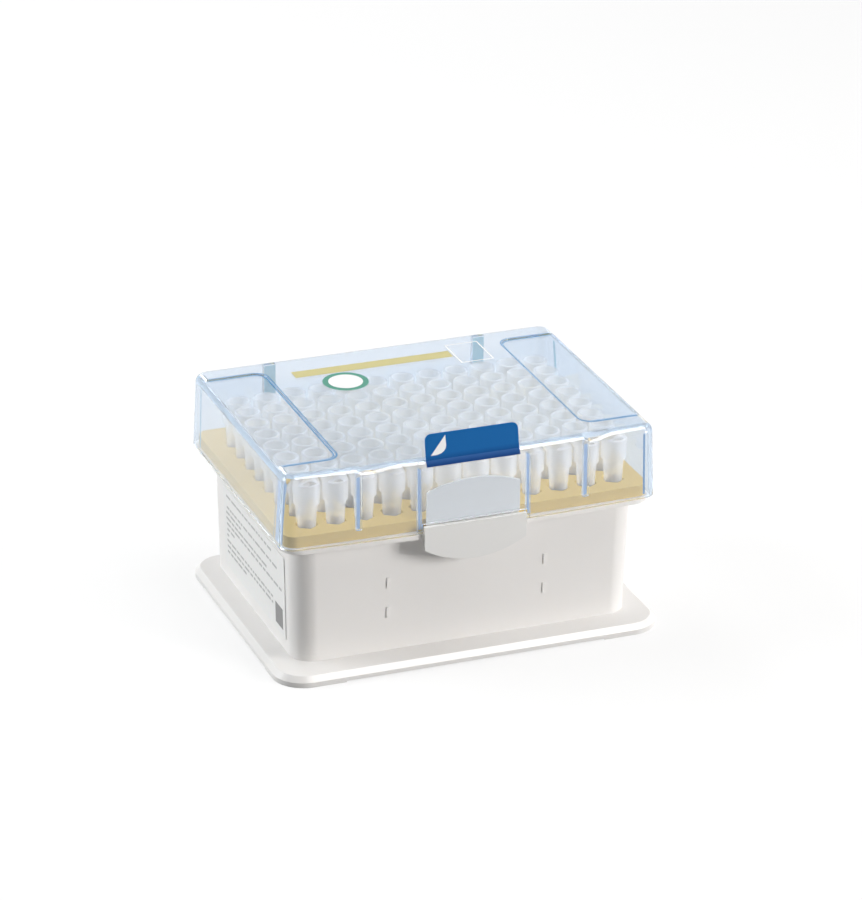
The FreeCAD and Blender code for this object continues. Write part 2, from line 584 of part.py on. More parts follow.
def build_lid():
    """Clear lid: drafted shell with a crowned front, sunk end panels, ribs and clip-on knuckles."""
    body = new_body("lid")
    plan = sketch_on(body, "XY_Plane", "LidPlan", LID_RIM)
    rounded_plan(plan, "lid_half_length", "lid_front", "lid_back", "lid_corner", "lid_crown")
    block = extrude(body, "Pad", "LidBlock", plan, "lid_height")
    rim, top = size_of(LID_RIM), size_of(LID_TOP)
    rim_face = (block, faces_where(block.Shape, lambda face: at_height(face, rim)))
    drafted = draft(body, "LidDraft", block, faces_where(block.Shape, upright), "lid_draft", rim_face)
    edges = edges_where(drafted.Shape, lambda edge: at_height(edge, top))
    fillet(body, "LidEdge", drafted, edges, "lid_edge")

    inset = f"(lid_wall + {lid_lean('lid_height - lid_wall')})"
    plan = sketch_on(body, "XY_Plane", "LidHollowPlan", LID_RIM)
    rounded_plan(plan, f"lid_half_length - {inset}", f"lid_front - {inset}", f"lid_back - {inset}",
                 f"lid_corner - {inset}", "lid_crown")
    hollow = extrude(body, "Pocket", "LidHollow", plan, "lid_height - lid_wall", reverse=True)
    ceiling = size_of(f"{LID_TOP} - lid_wall")
    inside = faces_where(hollow.Shape, lambda face: upright(face)
                         and abs(face.BoundBox.ZMax - ceiling) < NEAR)
    ceiling_face = (hollow, faces_where(hollow.Shape, lambda face: at_height(face, ceiling)))
    draft(body, "LidHollowDraft", hollow, inside, "lid_draft", ceiling_face, reverse=True)

    panels = sketch_on(body, "XY_Plane", "PanelPlan", LID_TOP)
    rectangle(panels, "-lid_half_length", "-panel_inner", "-panel_front", "panel_back")
    rectangle(panels, "panel_inner", "lid_half_length", "-panel_front", "panel_back")
    sunk = extrude(body, "Pocket", "SunkPanels", panels, "panel_depth")
    panel_x = size_of("panel_inner")
    corners = edges_where(sunk.Shape, lambda edge: abs(abs(edge.BoundBox.Center.x) - panel_x) < NEAR
                          and edge.BoundBox.XLength < NEAR and edge.BoundBox.YLength < NEAR)
    fillet(body, "PanelCorners", sunk, corners, "panel_corner")

    notch = sketch_on(body, "XZ_Plane", "NotchPlan", "lid_front - 2 * lid_wall")
    rectangle(notch, "-notch_half_width", "notch_half_width", f"{LID_RIM} - notch_height",
              f"{LID_RIM} + notch_height")
    extrude(body, "Pocket", "LatchNotch", notch, "4 * lid_wall + lid_crown", reverse=True)

    lid_ribs(body, "SideRibs", "notch_half_width + side_rib / 2", "side_rib", "0", "side_rib_length")
    lid_ribs(body, "FrontRibs", "front_rib_place", "front_rib", "front_rib_low", "front_rib_length")
    back = sketch_on(body, "XY_Plane", "BackRibPlan", f"{LID_RIM} + back_rib_low")
    lean = lid_lean("back_rib_low + back_rib_length")
    for way in ("-", ""):
        middle = f"{way}hinge_place"
        rectangle(back, f"{middle} - back_rib / 2", f"{middle} + back_rib / 2",
                  f"lid_back - {lean} - lid_wall - rib_depth", f"lid_back - {lean} - lid_wall / 2")
    extrude(body, "Pad", "BackRibs", back, "back_rib_length")

    start = "hinge_place - knuckle_length / 2"
    plan = sketch_on(body, "YZ_Plane", "KnucklePlan", start)
    knuckle_profile(plan)
    knuckle = extrude(body, "Pad", "Knuckle", plan, "knuckle_length")
    bore = sketch_on(body, "YZ_Plane", "KnuckleBorePlan", start)
    circle(bore, HINGE_Y, HINGE_Z, "pin_radius + pin_clearance")
    bored = extrude(body, "Pocket", "KnuckleBore", bore, "knuckle_length", reverse=True)
    mouth = sketch_on(body, "YZ_Plane", "KnuckleMouthPlan", start)
    rectangle(mouth, f"{HINGE_Y} - knuckle_slot / 2", f"{HINGE_Y} + knuckle_slot / 2",
              f"{HINGE_Z} - 2 * hinge_radius", HINGE_Z)
    opened = extrude(body, "Pocket", "KnuckleMouth", mouth, "knuckle_length", reverse=True)
    mirrored(body, "KnucklesBothSides", [knuckle, bored, opened])
    return body


def lid_ribs(body, name, place, width, low, length):
    """A pair of upright ribs inside the lid's front wall."""
    plan = sketch_on(body, "XY_Plane", f"{name}Plan", f"{LID_RIM} + {low}")
    face = lid_face(f"({place})")
    for way in ("-", ""):
        middle = f"{way}({place})"
        rectangle(plan, f"{middle} - {width} / 2", f"{middle} + {width} / 2",
                  f"-({face} - {lid_lean(f'{low} + {length}')} - rib_skin)",
                  f"-({face} - lid_wall - rib_depth)")
    extrude(body, "Pad", name, plan, length)


def knuckle_profile(sketch):
    """Side view of a lid knuckle: a block out of the back wall with a round outer end."""
    root = "lid_back - lid_wall / 2"
    y_root, y_axis, z_axis = size_of(root), size_of(HINGE_Y), size_of(HINGE_Z)
    radius = size_of("hinge_radius")
    under = line(sketch, (y_root, z_axis - radius), (y_axis, z_axis - radius))
    round_end = arc(sketch, (y_axis, z_axis), radius, -math.pi / 2, math.pi / 2)
    over = line(sketch, (y_axis, z_axis + radius), (y_root, z_axis + radius))
    inner = line(sketch, (y_root, z_axis + radius), (y_root, z_axis - radius))
    constrain(sketch, "Tangent", under, END, round_end, START)
    constrain(sketch, "Tangent", round_end, END, over, START)
    constrain(sketch, "Coincident", over, END, inner, START)
    constrain(sketch, "Coincident", inner, END, under, START)
    constrain(sketch, "Horizontal", under)
    constrain(sketch, "Horizontal", over)
    constrain(sketch, "Vertical", inner)
    constrain(sketch, "Radius", round_end, name="radius", text="hinge_radius")
    constrain(sketch, "DistanceX", *ORIGIN, round_end, CENTRE, name="axis_y", text=HINGE_Y)
    constrain(sketch, "DistanceY", *ORIGIN, round_end, CENTRE, name="axis_z", text=HINGE_Z)
    constrain(sketch, "DistanceX", *ORIGIN, inner, START, name="root", text=root)


def build_tray():
    """Tip tray: a deck with a skirt that stands on the rim flange, ribs below and tip holes."""
    body = new_body("tip_tray")
    plan = sketch_on(body, "XY_Plane", "TrayPlan", "rim_top")
    rounded_plan(plan, "tray_half_length", "tray_front", "tray_back", "tray_corner", "tray_crown")
    extrude(body, "Pad", "TrayBlock", plan, "tray_top - rim_top")
    plan = sketch_on(body, "XY_Plane", "SkirtPlan", "rim_top")
    rounded_plan(plan, "tray_half_length - tray_skirt", "tray_front - tray_skirt",
                 "tray_back - tray_skirt", "tray_corner - tray_skirt", "tray_crown")
    extrude(body, "Pocket", "SkirtHollow", plan, "tray_top - rim_top - tray_deck", reverse=True)

    rib_foot = "(rim_top - tray_rib_depth)"
    well = f"{flared(rib_foot)} - wall_thickness - tray_rib_gap"
    rib_height = "tray_rib_depth + tray_top - rim_top - tray_deck"
    long_ribs = sketch_on(body, "XY_Plane", "LongRibPlan", rib_foot)
    for middle in ("-2 * tip_pitch", "0", "2 * tip_pitch"):
        rectangle(long_ribs, f"-(wall_half_length + {well})", f"wall_half_length + {well}",
                  f"{middle} - tray_rib / 2", f"{middle} + tray_rib / 2")
    extrude(body, "Pad", "LongRibs", long_ribs, rib_height)
    cross_ribs = sketch_on(body, "XY_Plane", "CrossRibPlan", rib_foot)
    for middle in ("-4 * tip_pitch", "0", "4 * tip_pitch"):
        rectangle(cross_ribs, f"{middle} - tray_rib / 2", f"{middle} + tray_rib / 2",
                  f"-(wall_front + {well})", f"wall_back + {well}")
    extrude(body, "Pad", "CrossRibs", cross_ribs, rib_height)

    hole = sketch_on(body, "XY_Plane", "HolePlan", "tray_top")
    polygon(hole, "-tip_half_length", "-tip_half_depth",
            f"({tip_radius_at('tray_top')} + hole_clearance) * {FACET_SPREAD}", int(size_of("tip_sides")))
    first = extrude(body, "Pocket", "TipHole", hole, "tray_deck")
    grid = body.newObject("PartDesign::MultiTransform", "TipHoles")
    grid.Originals = [first]
    body.Tip = grid
    steps = []
    for name, role, count in (("AlongX", "X_Axis", "tip_columns"), ("AlongY", "Y_Axis", "tip_rows")):
        step = body.newObject("PartDesign::LinearPattern", name)
        step.Direction = (origin_part(body, role), [""])
        bind(step, Length=f"({count} - 1) * tip_pitch", Occurrences=count)
        steps.append(step)
    grid.Transformations = steps
    doc.recompute()
    return body


def tip_radius_at(height):
    """Outer radius of a tip below its collar, at a height above the table."""
    point = f"({TIP_TOP} - tip_length)"
    share = f"({height} - {point}) / (tip_length - collar_length)"
    return f"(tip_point + (collar_foot - tip_point) * {share})"


def faceted_ring(radius, height):
    """Corners of one section of a tip, with the area of a circle of that radius."""
    sides = int(size_of("tip_sides"))
    spread = radius * size_of(FACET_SPREAD)
    turns = [math.pi + (2 * i - 1) * math.pi / sides for i in range(sides)]
    return [FreeCAD.Vector(spread * math.cos(turn), spread * math.sin(turn), height) for turn in turns]


def tip_shape():
    """One hollow tip on the Z axis: flat faces between faceted rings, outside and bore."""
    top = size_of(TIP_TOP)
    collar = size_of(f"{TIP_TOP} - collar_length")
    point = size_of(f"{TIP_TOP} - tip_length")
    stations = [("bore_mouth", top), ("tip_mouth", top), ("collar_foot", collar),
                ("tip_point", point), ("bore_point", point)]
    rings = [faceted_ring(size_of(alias), height) for alias, height in stations]
    faces = []
    for upper, lower in zip(rings, rings[1:] + rings[:1]):
        for i in range(len(upper)):
            j = (i + 1) % len(upper)
            faces.append(Part.Face(Part.makePolygon([upper[i], upper[j], lower[j], lower[i], upper[i]])))
    solid = Part.makeSolid(Part.makeShell(faces))
    if solid.Volume < 0:
        solid.reverse()
    return solid


def build_tip_columns():
    """One node for each column of tips, the tips in it as separate solids."""
    tip = tip_shape()
    pitch, columns, rows = size_of("tip_pitch"), int(size_of("tip_columns")), int(size_of("tip_rows"))
    nodes = []
    for column in range(columns):
        tips = []
        for row_index in range(rows):
            copy = tip.copy()
            copy.translate(FreeCAD.Vector(0, (row_index - (rows - 1) / 2) * pitch, 0))
            tips.append(copy)
        label = f"tips_column_{column + 1:02d}"
        node = doc.addObject("Part::Feature", label)
        node.Label = label
        node.Shape = Part.makeCompound(tips)
        node.Placement = FreeCAD.Placement(
            FreeCAD.Vector((column - (columns - 1) / 2) * pitch, 0, 0), FreeCAD.Rotation())
        nodes.append(node)
    return nodes


def build_latch_clip():
    """Latch clip: thumb flap, shelf, arched catch plate and two pivot stubs in one moulding."""
    body = new_body("latch_clip")
    back_of_flap = f"({LATCH_FRONT} - flap_thickness)"
    shelf_back = f"(wall_front + {WALL_SPREAD} + shelf_gap)"
    flap = sketch_on(body, "XZ_Plane", "FlapPlan", back_of_flap)
    arched_outline(flap, "flap_half_width", FLAP_TOP, f"{FLAP_TOP} - flap_side", "flap_drop", upwards=False)
    extrude(body, "Pad", "Flap", flap, "flap_thickness")
    shelf = sketch_on(body, "XZ_Plane", "ShelfPlan", shelf_back)
    rectangle(shelf, "-flap_half_width", "flap_half_width", f"{SHELF_TOP} - shelf_thickness", SHELF_TOP)
    joined = extrude(body, "Pad", "Shelf", shelf, f"{back_of_flap} - {shelf_back}")
    under, rear = size_of(f"{SHELF_TOP} - shelf_thickness"), -size_of(back_of_flap)
    hollow = edges_where(joined.Shape, lambda edge: at_height(edge, under)
                         and abs(edge.BoundBox.YMin - rear) < NEAR and abs(edge.BoundBox.YMax - rear) < NEAR)
    fillet(body, "FlapHollow", joined, hollow, "flap_fillet")
    plate = sketch_on(body, "XZ_Plane", "CatchPlan", CATCH_BACK)
    arched_outline(plate, "catch_half_width", f"{SHELF_TOP} - shelf_thickness / 2",
                   "rim_top + catch_height", "catch_arch", upwards=True)
    extrude(body, "Pad", "CatchPlate", plate, "catch_thickness")
    stubs = sketch_on(body, "YZ_Plane", "StubPlan")
    circle(stubs, f"-{STUB_Y}", STUB_Z, "stub_radius")
    extrude(body, "Pad", "Stubs", stubs, "2 * (flap_half_width + stub_length)", both_ways=True)
    return body


def build_seal_label():
    """Seal label: stuck round the lid's upper front edge, its upper part a free, leaning tab."""
    body = new_body("seal_label")
    plan = sketch_on(body, "YZ_Plane", "SealPlan", "-seal_left")
    centre_z = f"({LID_TOP} - lid_edge)"
    centre_y = f"(lid_edge / cos(lid_draft * 1deg) + {lid_lean('lid_height - lid_edge')} - lid_front - lid_crown)"
    inner = "(lid_edge + glue_gap)"
    outer = f"({inner} + seal_thickness)"
    y0, z0 = size_of(centre_y), size_of(centre_z)
    first, last = (math.radians(size_of(f"180 - {name}")) for name in ("seal_start", "seal_leave"))
    lean, tab = math.radians(size_of("seal_lean")), size_of("seal_tab")

    def on_edge(radius, turn):
        return (y0 + radius * math.cos(turn), z0 + radius * math.sin(turn))

    def up_tab(point):
        return (point[0] + tab * math.sin(lean), point[1] + tab * math.cos(lean))

    r_in, r_out = size_of(inner), size_of(outer)
    inner_arc = arc(plan, (y0, z0), r_in, last, first)
    outer_arc = arc(plan, (y0, z0), r_out, last, first)
    inner_leave, outer_leave = on_edge(r_in, last), on_edge(r_out, last)
    inner_tab = line(plan, inner_leave, up_tab(inner_leave))
    slip = (r_out - r_in) * math.cos(last - math.pi / 2 - lean)
    square_end = (up_tab(inner_leave)[0] - slip * math.cos(lean), up_tab(inner_leave)[1] + slip * math.sin(lean))
    outer_tab = line(plan, outer_leave, square_end)
    tab_end = line(plan, up_tab(inner_leave), square_end)
    lower_end = line(plan, on_edge(r_in, first), on_edge(r_out, first))
    constrain(plan, "Coincident", inner_arc, START, inner_tab, START)
    constrain(plan, "Coincident", outer_arc, START, outer_tab, START)
    constrain(plan, "Coincident", inner_tab, END, tab_end, START)
    constrain(plan, "Coincident", outer_tab, END, tab_end, END)
    constrain(plan, "Coincident", inner_arc, END, lower_end, START)
    constrain(plan, "Coincident", outer_arc, END, lower_end, END)
    constrain(plan, "Coincident", inner_arc, CENTRE, outer_arc, CENTRE)
    constrain(plan, "Parallel", inner_tab, outer_tab)
    constrain(plan, "Radius", inner_arc, name="inner", text=inner)
    constrain(plan, "Radius", outer_arc, name="outer", text=outer)
    constrain(plan, "DistanceX", *ORIGIN, inner_arc, CENTRE, name="centre_y", text=centre_y)
    constrain(plan, "DistanceY", *ORIGIN, inner_arc, CENTRE, name="centre_z", text=centre_z)
    constrain(plan, "DistanceY", inner_tab, START, inner_tab, END, name="tab_rise",
              text="seal_tab * cos(seal_lean * 1deg)")
    constrain(plan, "DistanceX", inner_tab, START, inner_tab, END, name="tab_run",
              text="seal_tab * sin(seal_lean * 1deg)")
    for edge, ring, name in ((inner_arc, inner, "inner"), (outer_arc, outer, "outer")):
        for end, turn in ((START, "seal_leave"), (END, "seal_start")):
            constrain(plan, "DistanceY", edge, CENTRE, edge, end, name=f"{name}_{turn}",
                      text=f"{ring} * sin({turn} * 1deg)")
    constrain(plan, "Perpendicular", outer_tab, tab_end)
    strip = extrude(body, "Pad", "Strip", plan, "seal_left + seal_right")
    high = strip.Shape.BoundBox.ZMax - size_of("seal_thickness")
    corners = edges_where(strip.Shape, lambda edge: edge.BoundBox.ZMin > high
                          and edge.BoundBox.XLength < NEAR)
    fillet(body, "TabCorners", strip, corners, "seal_corner")
    return body


def build_side_label():
    """Paper label on the left end wall, flat against its draft."""
    label = doc.addObject("Part::Box", "side_label")
    label.Label = "side_label"
    bind(label, Length="side_label_thickness", Width="side_label_front + side_label_back",
         Height="side_label_height")
    label.Placement = FreeCAD.Placement(
        FreeCAD.Vector(), FreeCAD.Rotation(FreeCAD.Vector(0, -1, 0), size_of("wall_draft")))
    bind(label, Placement__Base__x=f"-(wall_half_length + {flared('side_label_low')} "
                                   "+ side_label_thickness + glue_gap)",
         Placement__Base__y="-side_label_front", Placement__Base__z="side_label_low",
         Placement__Rotation__Angle="wall_draft")
    doc.recompute()
    return label


pieces = [build_box_body(), build_tray(), build_lid(), build_latch_clip(), build_seal_label(),
          build_side_label()]
pieces += build_tip_columns()
doc.recompute()

for thing in doc.Objects:
    if "Invalid" in thing.State or "Error" in thing.State:
        raise RuntimeError(f"{thing.Name} failed: {thing.State}")
os.makedirs("parts", exist_ok=True)
for piece in pieces:
    if piece.Shape.isNull() or not piece.Shape.isValid() or piece.Shape.Volume <= 0:
        raise RuntimeError(f"{piece.Label} has no sound solid")
    piece.Shape.exportStep(f"parts/{piece.Label}.step")
    print(piece.Label, len(piece.Shape.Solids), round(piece.Shape.Volume, 1))
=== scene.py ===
import logging
import math
import random
from collections.abc import Callable, Iterable, Sequence
from dataclasses import dataclass
from enum import Enum

import bmesh
import bpy
from bmesh.types import BMesh, BMVert
from bpy.types import Material, Mesh, MeshPolygon, Node, NodeSocket, NodeTree, Object
from mathutils import Matrix, Vector
from mathutils.bvhtree import BVHTree


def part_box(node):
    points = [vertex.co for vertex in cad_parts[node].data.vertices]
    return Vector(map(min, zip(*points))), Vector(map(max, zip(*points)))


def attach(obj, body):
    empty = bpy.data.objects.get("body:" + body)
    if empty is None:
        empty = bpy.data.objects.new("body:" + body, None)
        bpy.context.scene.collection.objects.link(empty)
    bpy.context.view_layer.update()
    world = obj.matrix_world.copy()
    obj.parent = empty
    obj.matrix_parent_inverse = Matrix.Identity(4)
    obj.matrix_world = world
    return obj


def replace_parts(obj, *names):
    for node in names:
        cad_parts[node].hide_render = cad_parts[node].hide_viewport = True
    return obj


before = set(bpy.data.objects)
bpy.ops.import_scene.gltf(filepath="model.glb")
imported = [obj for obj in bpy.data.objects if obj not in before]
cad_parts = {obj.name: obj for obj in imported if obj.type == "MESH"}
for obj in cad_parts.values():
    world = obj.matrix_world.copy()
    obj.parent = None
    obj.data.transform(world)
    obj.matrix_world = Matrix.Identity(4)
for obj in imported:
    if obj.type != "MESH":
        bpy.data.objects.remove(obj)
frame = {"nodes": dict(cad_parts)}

"""Looks of a box of pipette tips: moulded white box, yellow tray, frosted tips, clear lid.

Every class builds one sub-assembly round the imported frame. Sizes are in metres, and places come
from the frame's own boxes.
"""

LOG = logging.getLogger("tip_box")
MM = 0.001
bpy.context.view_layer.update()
NODES: dict[str, Object] = frame["nodes"]

# Face attributes of painted shade on the lid: its edges, bends and sunk panels, and its top.
PAINTED_EDGE_SHADE = "edge_tint"
PAINTED_TOP_SHADE = "top_tint"
PANEL_SINK = 0.5 * MM

ROUNDED = 1
EDGE_FACETS = 3
EDGE_ANGLE = 28.0
FLAT_ANGLE = 0.05
MERGE = 1e-6

WHITE = (1.0, 1.0, 1.0, 1.0)
SEEN_BY = ("Camera", "Glossy", "Transmission")
TO_FRONT, TO_BACK = Vector((0, -1, 0)), Vector((0, 1, 0))
TO_RIGHT, DOWN = Vector((1, 0, 0)), Vector((0, 0, -1))

Colour = tuple[float, float, float]
Point = tuple[float, float, float]
Pair = tuple[float, float]
Four = tuple[float, float, float, float]


class Rider(Enum):
    """Bodies of the frame that pieces ride on."""

    BOX = "box"
    LID = "lid"
    LATCH = "latch"


class Slot(Enum):
    """Material slots of the record."""

    BOX_BODY = "box_body"
    TRAY = "tip_tray"
    LID = "lid"
    LATCH = "latch_clip"
    SEAL = "seal_label"
    SIDE_LABEL = "side_label"
    TIPS = "tips"


# ---- node helpers


class Graph:
    """Small helper that adds and links nodes in one tree."""

    def __init__(self, tree: NodeTree) -> None:
        """Keep the tree that nodes are added to."""
        self.tree = tree

    def add(self, kind: str, **settings: object) -> Node:
        """Add a node.

        Args:
            kind: Blender's name of its class.
            **settings: Its properties, by name.

        Returns:
            The new node.
        """
        node = self.tree.nodes.new(kind)
        for name, value in settings.items():
            setattr(node, name, value)
        return node

    def put(self, value: object, socket: NodeSocket) -> None:
        """Link an output to an input, or set the input to a plain value.

        Args:
            value: The output or the plain value.
            socket: The input.
        """
        if isinstance(value, NodeSocket):
            self.tree.links.new(value, socket)
        else:
            socket.default_value = value

    def feed(self, node: Node, **inputs: object) -> Node:
        """Set or link a node's inputs by name, with _ for a blank.

        Args:
            node: The node.
            **inputs: A socket to link, or a plain value, by input name.

        Returns:
            The same node.
        """
        for name, value in inputs.items():
            self.put(value, node.inputs[name.replace("_", " ")])
        return node

    def maths(self, operation: str, *values: object) -> NodeSocket:
        """Add a Math node.

        Args:
            operation: Blender's name of the operation.
            *values: Sockets or numbers, in order.

        Returns:
            The node's output.
        """
        node = self.add("ShaderNodeMath", operation=operation)
        for socket, value in zip(node.inputs, values):
            self.put(value, socket)
        return node.outputs[0]

    def blend(self, share: object, first: object, second: object, mode: str = "MIX") -> NodeSocket:
        """Blend two colours, each a socket or a plain colour.

        Args:
            share: Share of the second colour.
            first: The first colour.
            second: The second colour.
            mode: Blender's name of the blend.

        Returns:
            The blended colour.
        """
        node = self.add("ShaderNodeMix", data_type="RGBA", blend_type=mode)
        for value, socket in ((share, 0), (first, 6), (second, 7)):
            self.put(value, node.inputs[socket])
        return node.outputs[2]

    def ramp(self, axis: str, start: float, stop: float, low: float = 0.0, high: float = 1.0
             ) -> NodeSocket:
        """Add a value that changes evenly between two places on one of the object's axes.

        Args:
            axis: X, Y or Z.
            start: The first place.
            stop: The second place.
            low: The value up to start.
            high: The value from stop on.

        Returns:
            The value.
        """
        place = self.add("ShaderNodeSeparateXYZ")
        self.put(self.add("ShaderNodeTexCoord").outputs["Object"], place.inputs[0])
        return self.feed(self.add("ShaderNodeMapRange"), Value=place.outputs[axis],
                         From_Min=start, From_Max=stop, To_Min=low, To_Max=high).outputs[0]

    def surface(self, share: object, first: Node, second: Node) -> None:
        """Mix two shaders into the material's surface.

        Args:
            share: Share of the second shader.
            first: The first shader's node.
            second: The second shader's node.
        """
        mix = self.add("ShaderNodeMixShader")
        for socket, value in zip(mix.inputs, (share, first.outputs[0], second.outputs[0])):
            self.put(value, socket)
        self.put(mix.outputs[0], self.tree.nodes["Material Output"].inputs["Surface"])

    def rays(self, *kinds: str) -> NodeSocket:
        """Add a switch that is one for some kinds of rays.

        Args:
            *kinds: The kinds, such as Camera.

        Returns:
            The switch.
        """
        path = self.add("ShaderNodeLightPath")
        first, *others = [path.outputs[f"Is {kind} Ray"] for kind in kinds]
        for other in others:
            first = self.maths("MAXIMUM", first, other)
        return first


def new_material(name: str) -> tuple[Material, Graph, Node]:
    """Start a material.

    Args:
        name: The material's name.

    Returns:
        The material, its graph and its main shader.
    """
    material = bpy.data.materials.new(name)
    material.use_nodes = True
    return material, Graph(material.node_tree), material.node_tree.nodes["Principled BSDF"]


def moulded_surface_group() -> NodeTree:
    """Group for moulded plastic: slow colour drift, roughness patches and a fine tool texture.

    Returns:
        The group, with outputs Colour, Roughness and Height.
    """
    drift, drift_scale, patch_scale, grain_scale = 0.03, 28.0, 160.0, 2500.0
    tree = bpy.data.node_groups.new("MouldedSurface", "ShaderNodeTree")
    for label, way, kind in (("Colour", "INPUT", "Color"), ("Roughness", "INPUT", "Float"),
                             ("Patches", "INPUT", "Float"), ("Colour", "OUTPUT", "Color"),
                             ("Roughness", "OUTPUT", "Float"), ("Height", "OUTPUT", "Float")):
        tree.interface.new_socket(name=label, in_out=way, socket_type=f"NodeSocket{kind}")
    graph = Graph(tree)
    given, result = graph.add("NodeGroupInput"), graph.add("NodeGroupOutput")
    place = graph.add("ShaderNodeTexCoord").outputs["Object"]
    slow, patch, grain = [
        graph.feed(graph.add("ShaderNodeTexNoise"), Vector=place, Scale=scale, Detail=detail)
        for scale, detail in ((drift_scale, 2.0), (patch_scale, 4.0), (grain_scale, 2.0))]
    level, spread = [
        graph.maths("MULTIPLY", graph.maths("SUBTRACT", noise.outputs[0], 0.5), amount)
        for noise, amount in ((slow, drift), (patch, given.outputs["Patches"]))]
    tone = graph.add("ShaderNodeVectorMath", operation="SCALE")
    graph.put(given.outputs["Colour"], tone.inputs[0])
    graph.put(graph.maths("ADD", level, 1.0), tone.inputs["Scale"])
    graph.feed(result, Colour=tone.outputs[0], Height=grain.outputs[0],
               Roughness=graph.maths("ADD", spread, given.outputs["Roughness"]))
    return tree


def let_through(graph: Graph, shader: Node, share: float, turns: float | None = None
                ) -> None:
    """Let shadow and diffuse rays pass straight through a see-through material.

    Args:
        graph: The material's graph.
        shader: The shader that all other rays meet.
        share: How much of the light passes, from 0 to 1.
        turns: Rays reflected inside the wall more often than this pass as well.
    """
    soft = graph.maths("MULTIPLY", graph.rays("Shadow", "Diffuse"), share)
    if turns is not None:
        depth = graph.add("ShaderNodeLightPath").outputs["Glossy Depth"]
        soft = graph.maths("MAXIMUM", soft, graph.maths("GREATER_THAN", depth, turns))
    passing = graph.feed(graph.add("ShaderNodeBsdfTransparent"), Color=WHITE)
    graph.surface(soft, shader, passing)


# ---- finishes


@dataclass(frozen=True)
class MouldedFinish:
    """Opaque, milky or see-through moulded plastic.

    The cover is its opacity. A foot cover takes its place up to foot_from and fades to it at
    foot_to.
    """

    name: str
    colour: Colour
    roughness: float
    patches: float = 0.08
    grain_height: float = 0.004 * MM
    milkiness: float = 0.0
    milk_depth: Point = (4.0 * MM, 3.5 * MM, 3.0 * MM)
    clearness: float = 0.0
    refraction: float = 1.49
    passes_light: float = 0.0
    cover: float = 1.0
    foot_cover: float | None = None
    foot_from: float = 0.0
    foot_to: float = 1.0

    def material(self, surface: NodeTree) -> Material:
        """Make the material.

        Args:
            surface: The shared group for moulded plastic.

        Returns:
            The new material.
        """
        material, graph, shader = new_material(self.name)
        group = graph.feed(graph.add("ShaderNodeGroup", node_tree=surface),
                           Colour=(*self.colour, 1.0), Roughness=self.roughness,
                           Patches=self.patches)
        bump = graph.feed(graph.add("ShaderNodeBump"), Height=group.outputs["Height"],
                          Distance=self.grain_height, Strength=1.0)
        graph.feed(shader, Base_Color=group.outputs["Colour"], Roughness=group.outputs["Roughness"],
                   Normal=bump.outputs[0], IOR=self.refraction, Transmission_Weight=self.clearness,
                   Subsurface_Weight=self.milkiness, Subsurface_Scale=1.0,
                   Subsurface_Radius=self.milk_depth, Alpha=self.cover)
        if self.foot_cover is not None:
            graph.feed(shader, Alpha=graph.ramp("Z", self.foot_from, self.foot_to,
                                                self.foot_cover, self.cover))
        if self.passes_light:
            let_through(graph, shader, self.passes_light)
        return material


@dataclass(frozen=True)
class ClearFinish:
    """Clear moulded plastic, tinted by its depth, that lets soft light through to what it covers.

    Two face attributes blend in the edge colour as painted shade: on the rounded edges, bends and
    sunk panels for the blue lines that refraction draws there, and on the top, less towards the
    back, for its blue-grey veil.
    """

    name: str
    colour: Colour
    absorption: float
    absorbed: Colour
    edge: Colour
    fade_from: float = 20.0 * MM
    fade_to: float = 33.0 * MM
    clearness: float = 0.9
    roughness: float = 0.03
    refraction: float = 1.49
    inner_turns: float = 2.5

    def material(self) -> Material:
        """Make the material.

        Returns:
            The new material.
        """
        material, graph, shader = new_material(self.name)
        # Painted shade: the edge colour on edges, bends and panels, and over the top, fading out
        # towards the back.
        fading = graph.ramp("Y", self.fade_from, self.fade_to, 1.0, 0.0)
        edge, top = [graph.add("ShaderNodeAttribute", attribute_name=name).outputs["Fac"]
                     for name in (PAINTED_EDGE_SHADE, PAINTED_TOP_SHADE)]
        tint = graph.blend(graph.maths("MULTIPLY_ADD", top, fading, edge),
                           (*self.colour, 1.0), (*self.edge, 1.0))
        graph.feed(shader, Base_Color=tint, Roughness=self.roughness, IOR=self.refraction,
                   Transmission_Weight=self.clearness)
        let_through(graph, shader, 1.0, turns=self.inner_turns)
        depth = graph.feed(graph.add("ShaderNodeVolumeAbsorption"),
                           Color=(*self.absorbed, 1.0), Density=self.absorption)
        graph.put(depth.outputs[0], material.node_tree.nodes["Material Output"].inputs["Volume"])
        return material


@dataclass(frozen=True)
class FilmFinish:
    """Printed film or coated paper: even ink with a faint fibre, under a thin gloss.

    A shade colour, painted shade that darkens the film where it turns from the light, takes over up
    to shade_from and fades to the colour at shade_to.
    """

    name: str
    colour: Colour
    roughness: float = 0.35
    gloss: float = 0.25
    shine: float = 0.5
    fibre: float = 0.04
    fibre_scale: float = 900.0
    fibre_height: float = 0.003 * MM
    unevenness: float = 0.1
    shade: Colour | None = None
    shade_from: float = 0.0
    shade_to: float = 1.0

    def material(self) -> Material:
        """Make the material.

        Returns:
            The new material.
        """
        material, graph, shader = new_material(self.name)
        noise = graph.feed(graph.add("ShaderNodeTexNoise"), Scale=self.fibre_scale, Detail=3.0,
                           Vector=graph.add("ShaderNodeTexCoord").outputs["Object"])
        ink: object = (*self.colour, 1.0)
        # Painted shade: darker below shade_from, fading out by shade_to.
        if self.shade is not None:
            ink = graph.blend(graph.ramp("Z", self.shade_from, self.shade_to),
                              (*self.shade, 1.0), ink)
        rough = graph.maths("MULTIPLY", noise.outputs[0], self.unevenness)
        bump = graph.feed(graph.add("ShaderNodeBump"), Height=noise.outputs[0],
                          Distance=self.fibre_height)
        graph.feed(shader, Base_Color=graph.blend(self.fibre, ink, noise.outputs[1], "MULTIPLY"),
                   Roughness=graph.maths("ADD", rough, self.roughness), Normal=bump.outputs[0],
                   Coat_Weight=self.gloss, Coat_Roughness=0.2, Specular_IOR_Level=self.shine)
        return material


